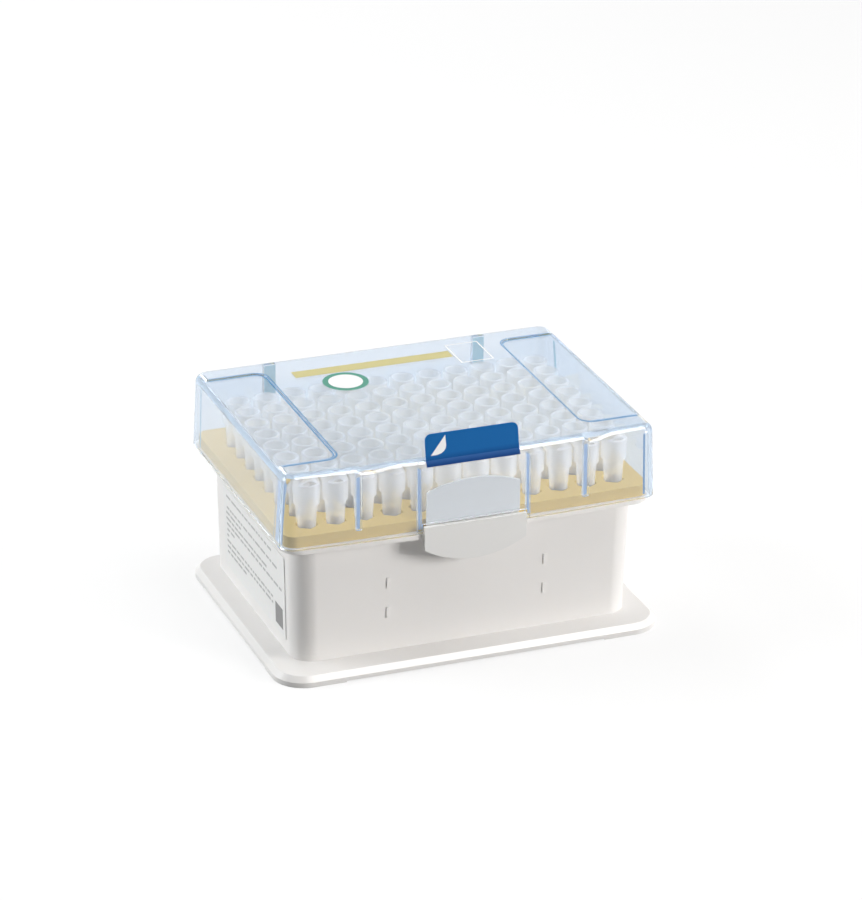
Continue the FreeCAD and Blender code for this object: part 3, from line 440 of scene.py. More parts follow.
class Finishes:
    """All materials of the object, made once."""

    def __init__(self) -> None:
        """Make each material from its finish."""
        surface = moulded_surface_group()

        def moulded(name: str, colour: Colour, **choices: object) -> Material:
            """Make a moulded plastic round the shared group."""
            return MouldedFinish(name, colour, **choices).material(surface)

        def film(name: str, colour: Colour, **choices: object) -> Material:
            """Make a printed film."""
            return FilmFinish(name, colour, **choices).material()

        mouth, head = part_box("tips_column_01")[1].z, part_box("seal_label")[1].z
        self.body = moulded("white_polypropylene", (0.80, 0.785, 0.77), roughness=0.38,
                            milkiness=0.12, grain_height=0.006 * MM)
        self.tray = moulded("yellow_tray_plastic", (0.63, 0.42, 0.085), roughness=0.45,
                            milkiness=0.1)
        self.clip = moulded("off_white_clip_plastic", (0.74, 0.74, 0.73), roughness=0.4,
                            milkiness=0.1)
        self.tips = moulded("frosted_tip_plastic", (0.92, 0.94, 1.0), roughness=0.45, patches=0.1,
                            milkiness=0.6, milk_depth=(3.0 * MM, 3.0 * MM, 3.0 * MM),
                            refraction=1.35, passes_light=0.98, cover=0.34, foot_cover=0.24,
                            foot_from=mouth - 10.0 * MM, foot_to=mouth - 6.5 * MM)
        # The lid's edge colour is painted shade for the blue lines that refraction draws in it.
        self.lid = ClearFinish("clear_blue_lid_plastic", colour=(0.94, 0.96, 1.0),
                               absorption=90.0, absorbed=(0.0, 0.40, 0.72),
                               edge=(0.22, 0.45, 0.72)).material()
        # The seal's darker foot band is painted shade where the film bends over the lid's front
        # edge.
        self.seal = film("blue_seal_film", (0.007, 0.12, 0.37), roughness=0.45, gloss=0.0,
                         shine=0.08, shade=(0.002, 0.045, 0.20), shade_from=head - 9.2 * MM,
                         shade_to=head - 6.2 * MM)
        # Strips of painted light and shade for the refraction lines in the lid's corners, ribs and
        # panel steps.
        self.rib_light, self.back_light, self.painted_edge_line = [
            moulded(name, colour, roughness=0.3, clearness=clearness, passes_light=0.8)
            for name, colour, clearness in (("pale_blue_rib_light", (0.36, 0.54, 0.82), 0.35),
                                            ("sea_blue_back_light", (0.10, 0.42, 0.62), 0.3),
                                            ("deep_blue_edge_light", (0.03, 0.20, 0.44), 0.1))]
        self.icon = film("white_print", (0.86, 0.86, 0.86))
        self.paper = film("label_paper", (0.84, 0.84, 0.83), roughness=0.5, gloss=0.1, fibre=0.08)
        self.grey_print = film("grey_print", (0.42, 0.42, 0.42), gloss=0.0)
        self.dark_print = film("dark_print", (0.22, 0.22, 0.22), gloss=0.0)
        self.stripe = film("yellow_stripe_ink", (0.54, 0.48, 0.19), roughness=0.4)
        self.green = film("green_ink", (0.02, 0.24, 0.165), roughness=0.4)


# ---- mesh helpers


def add_object(name: str, data: bpy.types.ID | None) -> Object:
    """Add an object to the scene.

    Args:
        name: Its name.
        data: Its mesh, camera or light.

    Returns:
        The new object.
    """
    made = bpy.data.objects.new(name, data)
    bpy.context.scene.collection.objects.link(made)
    return made


def piece_from(name: str, mesh: Mesh, rider: Rider, material: Material) -> Object:
    """Put a finished mesh into the scene as a piece.

    Args:
        name: The piece's name.
        mesh: The mesh, with its place in it.
        rider: The body it rides on.
        material: Its material.

    Returns:
        The new object.
    """
    mesh.name = name
    mesh.materials.clear()
    mesh.materials.append(material)
    mesh.polygons.foreach_set("material_index", [0] * len(mesh.polygons))
    piece = add_object(name, mesh)
    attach(piece, rider.value)
    LOG.info("%s: %d faces on %s", name, len(mesh.polygons), rider.value)
    return piece


def unshaded(piece: Object) -> None:
    """Let soft light reach what a piece on or under the clear lid covers."""
    piece.visible_shadow = False
    piece.visible_diffuse = False


def baked(source: Object) -> Mesh:
    """Evaluate an object's modifiers into a plain mesh and remove the object.

    Args:
        source: The object with live modifiers.

    Returns:
        The evaluated mesh.
    """
    bpy.context.view_layer.update()
    graph = bpy.context.evaluated_depsgraph_get()
    mesh = bpy.data.meshes.new_from_object(source.evaluated_get(graph))
    bpy.data.objects.remove(source)
    return mesh


def mesh_from(work: BMesh, name: str, outward: bool = True) -> Mesh:
    """Turn a working mesh into a plain one and free it.

    Args:
        work: The working mesh.
        name: The plain mesh's name.
        outward: Whether faces are turned outwards first.

    Returns:
        The plain mesh.
    """
    if outward:
        bmesh.ops.recalc_face_normals(work, faces=work.faces)
    mesh = bpy.data.meshes.new(name)
    work.to_mesh(mesh)
    work.free()
    return mesh


def softened(node: str, width: float, mend: Callable[[BMesh], None] | None = None) -> Mesh:
    """Copy a node's mesh and round its sharp edges as a mould does.

    Args:
        node: Name of the CAD node.
        width: Width of the rounding.
        mend: Called on the merged copy before its edges are rounded.

    Returns:
        The rounded mesh.
    """
    work = bmesh.new()
    work.from_mesh(NODES[node].data)
    bmesh.ops.remove_doubles(work, verts=work.verts, dist=MERGE)
    if mend is not None:
        mend(work)
        bmesh.ops.remove_doubles(work, verts=work.verts, dist=MERGE)
    bmesh.ops.dissolve_limit(work, angle_limit=math.radians(FLAT_ANGLE), verts=work.verts,
                             edges=work.edges)
    mesh = mesh_from(work, f"{node}_soft", outward=False)
    mesh.shade_smooth()
    holder = add_object(mesh.name, mesh)
    bevel = holder.modifiers.new("edges", "BEVEL")
    bevel.width, bevel.segments = width, EDGE_FACETS
    bevel.limit_method, bevel.angle_limit = "ANGLE", math.radians(EDGE_ANGLE)
    bevel.use_clamp_overlap = True
    bevel.miter_outer = "MITER_ARC"
    bevel.material = ROUNDED
    even = holder.modifiers.new("even", "WEIGHTED_NORMAL")
    even.mode, even.weight, even.keep_sharp = "FACE_AREA", 100, False
    return baked(holder)


def slab(outline: Sequence[Point], lift: Vector) -> Mesh:
    """Make a thin closed plate from an outline.

    Args:
        outline: Corners in order.
        lift: From the outline's face to the other face.

    Returns:
        The plate's mesh.
    """
    work = bmesh.new()
    base = work.faces.new([work.verts.new(corner) for corner in outline])
    raised = bmesh.ops.extrude_face_region(work, geom=[base])
    moved = [item for item in raised["geom"] if isinstance(item, BMVert)]
    bmesh.ops.translate(work, verts=moved, vec=lift)
    return mesh_from(work, "slab")


def strip(rows: Iterable[Sequence[Vector | Point]]) -> Mesh:
    """Make a closed strip through rows of four corners.

    Args:
        rows: The corners of each cross-section, in the same order.

    Returns:
        The strip's mesh.
    """
    work = bmesh.new()
    rings = [[work.verts.new(corner) for corner in row] for row in rows]
    for ring, following in zip(rings, rings[1:]):
        for i in range(4):
            j = (i + 1) % 4
            work.faces.new((ring[i], ring[j], following[j], following[i]))
    work.faces.new(rings[0][::-1])
    work.faces.new(rings[-1])
    return mesh_from(work, "strip")


def joined(meshes: Iterable[Mesh]) -> Mesh:
    """Join plain meshes into one.

    Args:
        meshes: The meshes to join.

    Returns:
        One mesh with all their faces.
    """
    work = bmesh.new()
    for mesh in meshes:
        work.from_mesh(mesh)
    return mesh_from(work, "joined", outward=False)


def surface_of(node: str) -> BVHTree:
    """Make the search tree of a CAD node's surface.

    Args:
        node: Name of the CAD node.

    Returns:
        The search tree.
    """
    mesh = NODES[node].data
    mesh.calc_loop_triangles()
    return BVHTree.FromPolygons([v.co for v in mesh.vertices],
                                [t.vertices for t in mesh.loop_triangles])


def meet(tree: BVHTree, start: Vector, way: Vector) -> tuple[Vector, Vector]:
    """Find the first point of a surface along a ray.

    Args:
        tree: The surface's search tree.
        start: Where the ray starts.
        way: Its direction.

    Returns:
        The point and the surface's normal there.
    """
    point, normal, _, _ = tree.ray_cast(start, way)
    if point is None:
        raise ValueError(f"no surface along {way} from {start}")
    return point, normal


def dress(node: str, material: Material) -> None:
    """Give a CAD node that stays in view its material.

    Args:
        node: Name of the CAD node.
        material: Its material.
    """
    data = NODES[node].data
    data.materials.clear()
    data.materials.append(material)
    data.shade_smooth()
    LOG.info("%s: CAD node dressed", node)


# ---- sub-assemblies


@dataclass
class WhiteMouldings:
    """Box body, tray and latch clip with the softened edges of real mouldings."""

    finishes: Finishes
    body_edge: float = 1.1 * MM
    tray_edge: float = 0.25 * MM
    clip_edge: float = 0.22 * MM

    def build(self) -> None:
        """Replace the three nodes by softened copies."""
        choices = (("box_body", self.body_edge, Rider.BOX, Slot.BOX_BODY, self.finishes.body),
                   ("tip_tray", self.tray_edge, Rider.BOX, Slot.TRAY, self.finishes.tray),
                   ("latch_clip", self.clip_edge, Rider.LATCH, Slot.LATCH, self.finishes.clip))
        for node, width, rider, slot, material in choices:
            mesh = softened(node, width)
            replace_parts(piece_from(f"{node}_moulding", mesh, rider, material), node)


@dataclass
class TipField:
    """All tips as turned, hollow, frosted cones on the tray's grid."""

    finishes: Finishes
    columns: int = 12
    rows: int = 8
    pitch: float = 9.0 * MM
    facets: int = 24
    sharp: float = 25.0
    seed: int = 7
    mouth: float = 3.95 * MM
    lip: float = 0.25 * MM
    collar: float = 6.7 * MM
    collar_foot: float = 3.8 * MM
    shoulder: float = 0.3 * MM
    neck: float = 3.2 * MM
    point: float = 0.6 * MM
    bore_mouth: float = 3.15 * MM
    bore_foot: float = 2.9 * MM
    bore_point: float = 0.3 * MM

    def tip(self) -> Mesh:
        """Turn the wall's section, from the bore's foot over the mouth, about the tip's axis.

        Returns:
            A closed mesh of one tip on the Z axis.
        """
        low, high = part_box("tips_column_01")
        foot, top = low.z, high.z
        shoulder = top - self.collar
        section = (
            (self.bore_point, foot), (self.bore_foot, shoulder - self.shoulder),
            (self.bore_mouth, top - self.lip), (self.bore_mouth + self.lip, top),
            (self.mouth - self.lip, top), (self.mouth, top - self.lip),
            (self.collar_foot, shoulder), (self.neck, shoulder - self.shoulder), (self.point, foot))
        work = bmesh.new()
        rings = []
        for step in range(self.facets):
            turn = math.tau * step / self.facets
            rings.append([work.verts.new((r * math.cos(turn), r * math.sin(turn), z))
                          for r, z in section])
        for ring, following in zip(rings, rings[1:] + rings[:1]):
            for i in range(len(ring)):
                j = (i + 1) % len(ring)
                work.faces.new((ring[i], following[i], following[j], ring[j]))
        mesh = mesh_from(work, "tip")
        mesh.shade_smooth()
        mesh.set_sharp_from_angle(angle=math.radians(self.sharp))
        return mesh

    def tree(self) -> NodeTree:
        """Geometry nodes: a grid of points, one tip on each, turned at random.

        Returns:
            The tree, with inputs Columns, Rows, Pitch and Tip.
        """
        tree = bpy.data.node_groups.new("TipGrid", "GeometryNodeTree")
        for label, way, kind in (("Columns", "INPUT", "Int"), ("Rows", "INPUT", "Int"),
                                 ("Pitch", "INPUT", "Float"), ("Tip", "INPUT", "Object"),
                                 ("Geometry", "OUTPUT", "Geometry")):
            tree.interface.new_socket(name=label, in_out=way, socket_type=f"NodeSocket{kind}")
        graph = Graph(tree)
        given, result = graph.add("NodeGroupInput"), graph.add("NodeGroupOutput")
        spans = [graph.maths("MULTIPLY", graph.maths("SUBTRACT", given.outputs[count], 1.0),
                             given.outputs["Pitch"]) for count in ("Columns", "Rows")]
        grid = graph.feed(graph.add("GeometryNodeMeshGrid"), Size_X=spans[0], Size_Y=spans[1],
                          Vertices_X=given.outputs["Columns"], Vertices_Y=given.outputs["Rows"])
        turned = graph.add("FunctionNodeRandomValue", data_type="FLOAT_VECTOR")
        turned.inputs[0].default_value = (0.0, 0.0, 0.0)
        turned.inputs[1].default_value = (0.0, 0.0, math.tau)
        turned.inputs["Seed"].default_value = self.seed
        info = graph.feed(graph.add("GeometryNodeObjectInfo"), Object=given.outputs["Tip"])
        placed = graph.feed(graph.add("GeometryNodeInstanceOnPoints"), Points=grid.outputs["Mesh"],
                            Instance=info.outputs["Geometry"], Rotation=turned.outputs[0])
        real = graph.feed(graph.add("GeometryNodeRealizeInstances"), Geometry=placed.outputs[0])
        graph.feed(result, Geometry=real.outputs[0])
        return tree

    def build(self) -> None:
        """Make the field of tips in place of the twelve columns."""
        single = bpy.data.objects.new("single_tip", self.tip())
        holder = add_object("tip_grid", bpy.data.meshes.new("tip_grid"))
        modifier = holder.modifiers.new("grid", "NODES")
        modifier.node_group = self.tree()
        values = {"Columns": self.columns, "Rows": self.rows, "Pitch": self.pitch, "Tip": single}
        for item in modifier.node_group.interface.items_tree:
            if item.in_out == "INPUT":
                modifier[item.identifier] = values[item.name]
        mesh = baked(holder)
        bpy.data.objects.remove(single)
        piece = piece_from("frosted_tips", mesh, Rider.BOX, self.finishes.tips)
        unshaded(piece)
        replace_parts(piece, *[f"tips_column_{i + 1:02d}" for i in range(self.columns)])


@dataclass
class Lid:
    """Clear lid with a printed stripe, a round sticker and a plain printed frame on its top.

    Rectangles are left, right, front and back.
    """

    finishes: Finishes
    edge: float = 0.28 * MM
    # Shares of the edge colour as painted shade: rounded edges, bends, sunk panel floors and the
    # top.
    painted_edge_share: float = 0.6
    painted_bend_share: float = 0.07
    bend_lean: float = 0.2
    painted_panel_share: float = 0.36
    painted_top_share: float = 0.3
    level: float = 0.99
    near: float = 0.03 * MM
    rib_place: float = 36.4 * MM
    rib_reach: float = 1.0 * MM
    rib_head: float = 65.1 * MM
    rib_near: float = 0.02 * MM
    rib_width: float = 0.05 * MM
    rib_depth: float = 0.3 * MM
    ink: float = 0.03 * MM
    stripe: Four = (-31.2 * MM, 21.1 * MM, 29.9 * MM, 34.8 * MM)
    badge_centre: tuple[float, float] = (-17.6 * MM, 22.3 * MM)
    badge_radius: float = 7.2 * MM
    badge_inner: float = 5.4 * MM
    badge_facets: int = 48
    frame: Four = (21.6 * MM, 32.7 * MM, 24.2 * MM, 39.3 * MM)
    frame_line: float = 0.45 * MM

    def __post_init__(self) -> None:
        """Find the height of the lid's top."""
        self.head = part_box("lid")[1].z

    def inked(self, rim: Iterable[Pair], lift: float) -> Mesh:
        """Thin print on the lid's top inside a rim of X and Y, thicker than ink by a lift."""
        outline = [(x, y, self.head - self.ink / 2) for x, y in rim]
        return slab(outline, Vector((0, 0, self.ink + lift)))

    def plate(self, left: float, right: float, front: float, back: float) -> Mesh:
        """Thin rectangle of ink on the lid's top."""
        return self.inked(((left, front), (right, front), (right, back), (left, back)), 0.0)

    def disc(self, radius: float, lift: float) -> Mesh:
        """Thin round sticker on the lid's top.

        Args:
            radius: Its radius.
            lift: How much it is thicker than ink.

        Returns:
            The disc's mesh.
        """
        x, y = self.badge_centre
        turns = [math.tau * i / self.badge_facets for i in range(self.badge_facets)]
        rim = [(x + radius * math.cos(turn), y + radius * math.sin(turn)) for turn in turns]
        return self.inked(rim, lift)

    def flush_ribs(self, work: BMesh) -> None:
        """Draw the front ribs' head corners back until they are flush with the rounded edge.

        Args:
            work: The merged copy of the lid.
        """
        heads = [v for v in work.verts if abs(abs(v.co.x) - self.rib_place) < self.rib_reach
                 and v.co.y < 0 and abs(v.co.z - self.rib_head) < self.rib_near]
        front = min(v.co.y for v in heads)
        for corner in [v for v in heads if v.co.y < front + self.rib_near]:
            level = [v for v in heads if abs(v.co.x - corner.co.x) < self.rib_width
                     and front + self.near < v.co.y < front + self.rib_depth]
            if level:
                corner.co.y = min(v.co.y for v in level)

    def edge_tint(self, face: MeshPolygon) -> float:
        """Share of the edge colour, as painted shade, on a face of the shell.

        Args:
            face: The face.

        Returns:
            The share, most on rounded edges, then on the sunk panels and bends.
        """
        if face.material_index == ROUNDED:
            return self.painted_edge_share
        if sorted(abs(part) for part in face.normal)[1] > self.bend_lean:
            return self.painted_bend_share
        return self.painted_panel_share if self.is_level(face, self.head - PANEL_SINK) else 0.0

    def is_level(self, face: MeshPolygon, height: float) -> bool:
        """Tell whether a face looks up and lies at a height."""
        return face.normal.z > self.level and abs(face.center.z - height) < self.near

    def shell(self) -> Mesh:
        """Softened copy of the lid whose faces carry the two painted shades, on its edges and its
        top.

        Returns:
            The shell's mesh.
        """
        mesh = softened("lid", self.edge, mend=self.flush_ribs)
        painted_shades = {PAINTED_EDGE_SHADE: [self.edge_tint(face) for face in mesh.polygons],
                 PAINTED_TOP_SHADE: [self.painted_top_share if self.is_level(face, self.head) else 0.0
                            for face in mesh.polygons]}
        for name, shares in painted_shades.items():
            mesh.attributes.new(name, "FLOAT", "FACE").data.foreach_set("value", shares)
        return mesh

    def build(self) -> None:
        """Replace the lid by its softened shell and add its printed pieces."""
        done = self.finishes
        shell = piece_from("lid_shell", self.shell(), Rider.LID, done.lid)
        unshaded(shell)
        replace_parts(shell, "lid")
        left, right, front, back = self.frame
        width = self.frame_line
        bars = [(left, right, front, front + width), (left, right, back - width, back),
                (left, left + width, front + width, back - width),
                (right - width, right, front + width, back - width)]
        prints = (("lid_stripe", self.plate(*self.stripe), done.stripe),
                  ("lid_badge_ring", self.disc(self.badge_radius, 0.0), done.green),
                  ("lid_badge_field", self.disc(self.badge_inner, self.ink), done.icon),
                  ("lid_printed_frame", joined([self.plate(*bar) for bar in bars]), done.icon))
        made = [piece_from(name, mesh, Rider.LID, ink) for name, mesh, ink in prints]
        unshaded(made[0])


@dataclass
class PaintedLidLines:
    """Painted light and shade: pale and deep blue strips in the lid's corners, ribs and panel
    steps, for the lines that refraction draws there.

    Each strip lies against the lid's own surface, found by rays from inside or above. A corner's
    line is its angle, in degrees from the side wall, and its width. Ribs are X, width, and gaps at
    the foot and head. A side is -1 or 1, left or right. An end is -1 or 1, front or back.
    """

    finishes: Finishes
    thick: float = 0.04 * MM
    clearance: float = 0.2
    rise: int = 9
    wall: float = 1.3 * MM
    bend: float = 4.8 * MM
    corner_foot: float = 1.0 * MM
    corner_head: float = 3.0 * MM
    front_left: tuple[Pair, ...] = ((-58.0, 0.2 * MM), (6.0, 0.3 * MM))
    front_right: tuple[Pair, ...] = ((83.0, 0.7 * MM), (20.0, 0.3 * MM))
    back_left: tuple[Pair, ...] = ((-50.0, 0.6 * MM),)
    back_right: tuple[Pair, ...] = ((-64.0, 0.7 * MM),)
    corner_band: Pair = (-28.0, 3.6 * MM)
    front_ribs: Four = (36.4 * MM, 1.1 * MM, 3.8 * MM, 3.2 * MM)
    notch_ribs: Four = (17.4 * MM, 1.0 * MM, 0.8 * MM, 3.2 * MM)
    back_ribs: Four = (35.0 * MM, 3.7 * MM, 12.8 * MM, 1.6 * MM)
    panel_line: float = 0.34 * MM
    panel_gap: float = 0.18 * MM
    panel_front: float = 1.2
    panel_end: float = 1.2 * MM
    panel_radius: float = 4.0 * MM
    panel_steps: int = 8
    panel_near: float = 0.02 * MM
    above: float = 20.0 * MM
    probe_depth: float = 6.0 * MM
    front_probe: float = 0.5
    back_probe: float = 0.75

    def __post_init__(self) -> None:
        """Make the search tree of the lid's surface and find its front and back walls inside."""
        self.tree = surface_of("lid")
        self.low, self.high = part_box("lid")
        self.front, self.back = [
            meet(self.tree, Vector((self.high.x * share, 0.0, self.high.z - self.probe_depth)),
                 way)[0].y
            for share, way in ((self.front_probe, TO_FRONT), (self.back_probe, TO_BACK))]

    def ribbon(self, starts: Iterable[Sequence[Vector]], way: Vector) -> Mesh:
        """Thin closed ribbon against the lid.

        Args:
            starts: Ray starts of the ribbon's two edges, along its length.
            way: Direction of the rays.

        Returns:
            The ribbon's mesh.
        """
        rows = []
        for pair in starts:
            hits = [meet(self.tree, start, way) for start in pair]
            near = [point + normal * self.thick for point, normal in hits]
            far = [point + normal * self.thick * self.clearance for point, normal in hits]
            rows.append((near[0], near[1], far[1], far[0]))
        return strip(rows)

    def heights(self, foot: float, head: float) -> list[float]:
        """Even heights between a gap above the lid's foot and a gap below its head."""
        low, high = self.low.z + foot, self.high.z - head
        return [low + (high - low) * i / (self.rise - 1) for i in range(self.rise)]

    def upright(self, side: int, rib: Four, way: Vector) -> Mesh:
        """Upright ribbon on the wall that a ray meets at each height.

        Args:
            side: Left or right.
            rib: The rib's measures.
            way: Direction from inside towards the wall.

        Returns:
            The ribbon's mesh.
        """
        place, width, foot, head = rib
        middle = (self.low.y + self.high.y) / 2
        edges = (side * place - width / 2, side * place + width / 2)
        return self.ribbon([[Vector((x, middle, z)) for x in edges]
                            for z in self.heights(foot, head)], way)

    def corner(self, side: int, end: int, turn: float, width: float) -> Mesh:
        """Upright line inside a corner's bend.

        Args:
            side: Left or right.
            end: Front or back.
            turn: The line's angle.
            width: The line's width.

        Returns:
            The ribbon's mesh.
        """
        angle = math.radians(turn)
        way = Vector((math.cos(angle) * side, math.sin(angle) * end, 0.0))
        across = Vector((-way.y, way.x, 0.0)) * width / 2
        wall = self.back if end > 0 else self.front
        x, y = (self.high.x - self.bend) * side, wall - (self.bend - self.wall) * end
        levels = [Vector((x, y, z)) for z in self.heights(self.corner_foot, self.corner_head)]
        return self.ribbon([(level - across, level + across) for level in levels], way)

    def panel_path(self, side: int) -> list[Four]:
        """Points along the step of a sunk end panel.

        Args:
            side: Left or right.

        Returns:
            Distance from the middle, Y, and the two parts of the way out.
        """
        sunk = [v.co for v in NODES["lid"].data.vertices
                if abs(v.co.z - self.high.z + PANEL_SINK) < self.panel_near]
        inner = min(side * v.x for v in sunk if side * v.x > 0)
        outer = max(side * v.x for v in sunk) - self.panel_end
        front, back = min(v.y for v in sunk), max(v.y for v in sunk)
        middle, radius = (outer + inner) / 2, self.panel_radius
        path = [(outer, back, 0.0, 1.0), (middle, back, 0.0, 1.0)]
        for first, centre in ((90, back - radius), (180, front + radius)):
            for step in range(self.panel_steps + 1):
                turn = math.radians(first + 90 * step / self.panel_steps)
                x, y = math.cos(turn), math.sin(turn)
                path.append((inner + radius + radius * x, centre + radius * y, x, y))
        return path + [(middle, front, 0.0, -1.0), (outer, front, 0.0, -1.0)]

    def panel(self, side: int) -> list[Mesh]:
        """Two lines along the step of a sunk end panel, one above it and one below.

        Args:
            side: Left or right.

        Returns:
            The two ribbons' meshes.
        """
        gap, wide = self.panel_gap, self.panel_line
        ribbons = []
        for insets in ((-gap - wide, -gap), (gap, gap + wide)):
            pairs = []
            for x, y, out_x, out_y in self.panel_path(side):
                wider = 1.0 + self.panel_front * max(-out_y, 0.0)
                pairs.append([Vector((side * (x - out_x * inset * wider), y - out_y * inset * wider,
                                      self.high.z + self.above)) for inset in insets])
            ribbons.append(self.ribbon(pairs, DOWN))
        return ribbons

    def build(self) -> None:
        """Make the painted strips as three pieces on the lid, one for each colour."""
        pale, deep, rear = [], [], []
        for side in (-1, 1):
            for kind, rib, way in ((pale, self.front_ribs, TO_FRONT),
                                   (pale, self.notch_ribs, TO_FRONT),
                                   (rear, self.back_ribs, TO_BACK)):
                kind.append(self.upright(side, rib, way))
            deep += self.panel(side)
        for kind, side, end, lines in (
                (pale, -1, -1, (self.corner_band,)), (deep, -1, -1, self.front_left),
                (deep, 1, -1, self.front_right), (rear, -1, 1, self.back_left),
                (rear, 1, 1, self.back_right)):
            kind += [self.corner(side, end, *line) for line in lines]
        for name, strips, material in (("lid_rib_light", pale, self.finishes.rib_light),
                                       ("lid_edge_light", deep, self.finishes.painted_edge_line),
                                       ("lid_back_light", rear, self.finishes.back_light)):
            unshaded(piece_from(name, joined(strips), Rider.LID, material))


@dataclass
class Labels:
    """Blue seal label with its peel mark, and the side label with fields of print.

    The peel mark's curl is pairs of a share of its height and of its width.
    """

    finishes: Finishes
    ink: float = 0.03 * MM
    stand: float = 0.01 * MM
    icon_left: float = 1.4 * MM
    icon_right: float = 6.8 * MM
    icon_foot: float = 6.8 * MM
    icon_head: float = 0.9 * MM
    icon_slant: float = 0.94
    icon_least: float = 0.05 * MM
    curl: tuple[Pair, ...] = ((0.05, 0.42), (0.11, 0.66), (0.2, 0.82), (0.33, 0.93), (0.48, 0.97),
                              (0.75, 0.96), (1.0, 0.94))
    rows: int = 11
    row_height: float = 0.75 * MM
    row_pitch: float = 1.9 * MM
    margin: float = 2.2 * MM
    indent: float = 1.0 * MM
    dash: Pair = (1.2 * MM, 4.6 * MM)
    blank: Pair = (0.6 * MM, 1.0 * MM)
    row_goes_on: float = 0.93
    field: float = 6.8 * MM
    seed: int = 5

    def __post_init__(self) -> None:
        """Make the search trees of both labels, and find a place left of the side label."""
        self.seal, self.side = surface_of("seal_label"), surface_of("side_label")
        self.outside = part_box("side_label")[0].x - self.margin

    def peel_mark(self) -> Mesh:
        """Peeled-corner mark: a triangle whose lower right corner curls, on the label's front.

        Returns:
            The mark's mesh.
        """
        low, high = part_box("seal_label")
        width, height = self.icon_right - self.icon_left, self.icon_foot - self.icon_head
        start, middle = low.x + self.icon_left, (low.x + high.x) / 2
        rows = []
        for share, reach in self.curl:
            z = high.z - self.icon_foot + height * share
            left = start + width * self.icon_slant * share
            right = max(start + width * reach, left + self.icon_least)
            point, _ = meet(self.seal, Vector((middle, low.y - self.margin, z)), TO_BACK)
            near = point.y - self.stand
            far = near - self.ink
            rows.append(((left, near, z), (right, near, z), (right, far, z), (left, far, z)))
        return strip(rows)

    def on_side(self, back: float, front: float, foot: float, head: float) -> Mesh:
        """Thin rectangle of print on the side label, from its back and front Y and its heights."""
        starts = [Vector((self.outside, y, z)) for y, z in
                  ((back, foot), (front, foot), (front, head), (back, head))]
        return slab([meet(self.side, start, TO_RIGHT)[0] for start in starts],
                    Vector((-self.ink, 0, 0)))

    def rows_of_print(self) -> Mesh:
        """Rows of small plain dashes of seeded lengths, in place of small print.

        Returns:
            The dashes' mesh.
        """
        low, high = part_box("side_label")
        chance = random.Random(self.seed)
        dashes = []
        for row in range(self.rows):
            head = high.z - self.margin - row * self.row_pitch
            foot, stop = head - self.row_height, low.y + self.margin
            if foot < low.z + self.margin + self.field + self.row_pitch / 2:
                stop += self.field + self.margin
            place = high.y - self.margin - chance.uniform(0.0, self.indent)
            while place - self.dash[0] > stop and chance.random() < self.row_goes_on:
                length = min(chance.uniform(*self.dash), place - stop)
                dashes.append(self.on_side(place, place - length, foot, head))
                place -= length + chance.uniform(*self.blank)
        return joined(dashes)

    def plain_field(self) -> Mesh:
        """Plain printed square near the label's front foot.

        Returns:
            The square's mesh.
        """
        low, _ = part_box("side_label")
        front, foot = low.y + self.margin, low.z + self.margin
        return self.on_side(front + self.field, front, foot, foot + self.field)

    def build(self) -> None:
        """Dress both labels and add what is printed on them."""
        done = self.finishes
        dress("seal_label", done.seal)
        dress("side_label", done.paper)
        piece_from("seal_peel_mark", self.peel_mark(), Rider.LID, done.icon)
        for name, mesh, ink in (("side_label_rows", self.rows_of_print(), done.grey_print),
                                ("side_label_field", self.plain_field(), done.dark_print)):
            piece_from(name, mesh, Rider.BOX, ink)


# ---- studio


@dataclass(frozen=True)
class Lamp:
    """Soft square lamp that faces the box: its place, edge length, watts and colour.

    A lamp for gloss only is a card that shows as a highlight.
    """

    name: str
    place: Point
    size: float
    power: float
    colour: Colour
    gloss_only: bool = False


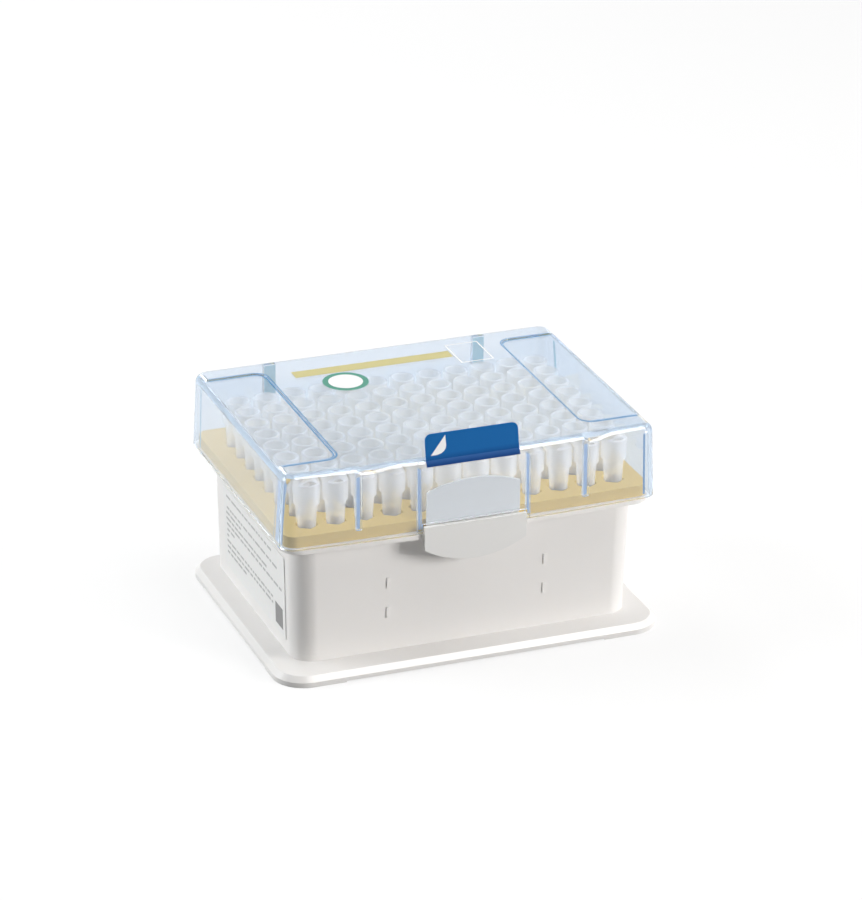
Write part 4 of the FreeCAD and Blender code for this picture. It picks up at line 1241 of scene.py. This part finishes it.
@dataclass
class Studio:
    """Pale floor, soft lamps and the camera."""

    azimuth: float = -21.2
    elevation: float = 23.8
    roll: float = 0.61
    lens: float = 173.9
    sensor: float = 36.0
    nearest: float = 0.05
    farthest: float = 50.0
    distance: float = 1286.9 * MM
    aim: Point = (0.0, 0.0, 35.0 * MM)
    shift_right: float = 2.30 * MM
    shift_up: float = 14.14 * MM
    world_light: float = 0.52
    shade_side: Point = (-0.72, -0.66, 0.2)
    shade_depth: float = 1.0
    shade_falloff: float = 0.5
    floor_size: float = 8.0
    floor_seen: float = 0.96
    floor_bounce: float = 0.36
    floor_white: float = 0.7
    lamps: tuple[Lamp, ...] = (
        Lamp("overhead", (0.31, -0.12, 0.95), 0.62, 3.5, (1.0, 0.99, 0.98)),
        Lamp("right_front", (1.0, -1.0, 0.4), 0.5, 16.5, (1.0, 0.98, 0.96)),
        Lamp("left_back", (-1.0, 0.45, 0.5), 0.6, 10.5, (0.97, 0.99, 1.0)),
        Lamp("edge_card", (0.37, -0.45, 0.97), 0.6, 13.0, (1.0, 1.0, 1.0), gloss_only=True),
        Lamp("behind", (-0.25, 1.1, 0.7), 0.3, 3.4, (0.98, 0.99, 1.0)))

    def camera(self) -> None:
        """Place the camera by its angles round the aim point."""
        turned = Matrix.Identity(4)
        for angle, axis in ((self.azimuth, "Z"), (90.0 - self.elevation, "X"), (self.roll, "Z")):
            turned @= Matrix.Rotation(math.radians(angle), 4, axis)
        data = bpy.data.cameras.new("camera")
        data.lens, data.sensor_width, data.sensor_fit = self.lens, self.sensor, "HORIZONTAL"
        data.clip_start, data.clip_end = self.nearest, self.farthest
        view = add_object("camera", data)
        place = Vector(self.aim) + turned @ Vector((self.shift_right, self.shift_up, self.distance))
        view.matrix_world = Matrix.Translation(place) @ turned
        bpy.context.scene.camera = view

    def light(self, lamp: Lamp) -> None:
        """Add a lamp.

        Args:
            lamp: The lamp's place and strength.
        """
        data = bpy.data.lights.new(lamp.name, "AREA")
        data.shape, data.size = "SQUARE", lamp.size
        data.energy, data.color = lamp.power, lamp.colour
        made = add_object(lamp.name, data)
        made.visible_camera = False
        made.visible_diffuse = not lamp.gloss_only
        made.location = lamp.place
        made.rotation_mode = "QUATERNION"
        made.rotation_quaternion = (Vector(lamp.place) - Vector(self.aim)).to_track_quat("Z", "Y")

    def world(self) -> None:
        """White surroundings, full white where the camera, gloss and clear plastic see them."""
        world = bpy.data.worlds.new("studio")
        bpy.context.scene.world = world
        world.use_nodes = True
        graph = Graph(world.node_tree)
        towards = graph.add("ShaderNodeVectorMath", operation="DOT_PRODUCT")
        graph.put(graph.add("ShaderNodeTexCoord").outputs["Generated"], towards.inputs[0])
        graph.put(self.shade_side, towards.inputs[1])
        facing = graph.maths("POWER", graph.maths("MAXIMUM", towards.outputs["Value"], 0.0),
                             self.shade_falloff)
        dimmed = graph.maths("SUBTRACT", 1.0, graph.maths("MULTIPLY", facing, self.shade_depth))
        soft = graph.maths("MULTIPLY", dimmed, self.world_light)
        graph.feed(world.node_tree.nodes["Background"], Color=WHITE,
                   Strength=graph.maths("MAXIMUM", graph.rays(*SEEN_BY), soft))

    def floor(self) -> None:
        """Pale floor that shows full white where no shadow falls."""
        half = self.floor_size / 2
        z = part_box("box_body")[0].z
        mesh = bpy.data.meshes.new("floor")
        mesh.from_pydata([(-half, -half, z), (half, -half, z), (half, half, z), (-half, half, z)],
                         [], [(0, 1, 2, 3)])
        material, graph, shader = new_material("pale_floor")
        seen = graph.rays(*SEEN_BY)
        grey = graph.maths("ADD", self.floor_bounce,
                           graph.maths("MULTIPLY", seen, self.floor_seen - self.floor_bounce))
        graph.feed(shader, Base_Color=grey, Roughness=0.9, Specular_IOR_Level=0.0)
        white = graph.feed(graph.add("ShaderNodeEmission"), Color=WHITE, Strength=1.0)
        graph.surface(graph.maths("MULTIPLY", seen, self.floor_white), shader, white)
        mesh.materials.append(material)
        add_object("floor", mesh)

    def build(self) -> None:
        """Set the whole studio up."""
        self.camera()
        self.world()
        self.floor()
        for lamp in self.lamps:
            self.light(lamp)


def main() -> None:
    """Build every sub-assembly in order."""
    logging.basicConfig(level=logging.INFO, format="%(name)s %(message)s")
    bpy.context.scene.view_settings.view_transform = "Standard"
    finishes = Finishes()
    for part in (WhiteMouldings(finishes), TipField(finishes), Lid(finishes),
                 PaintedLidLines(finishes), Labels(finishes), Studio()):
        part.build()


if __name__ == "__main__":
    main()
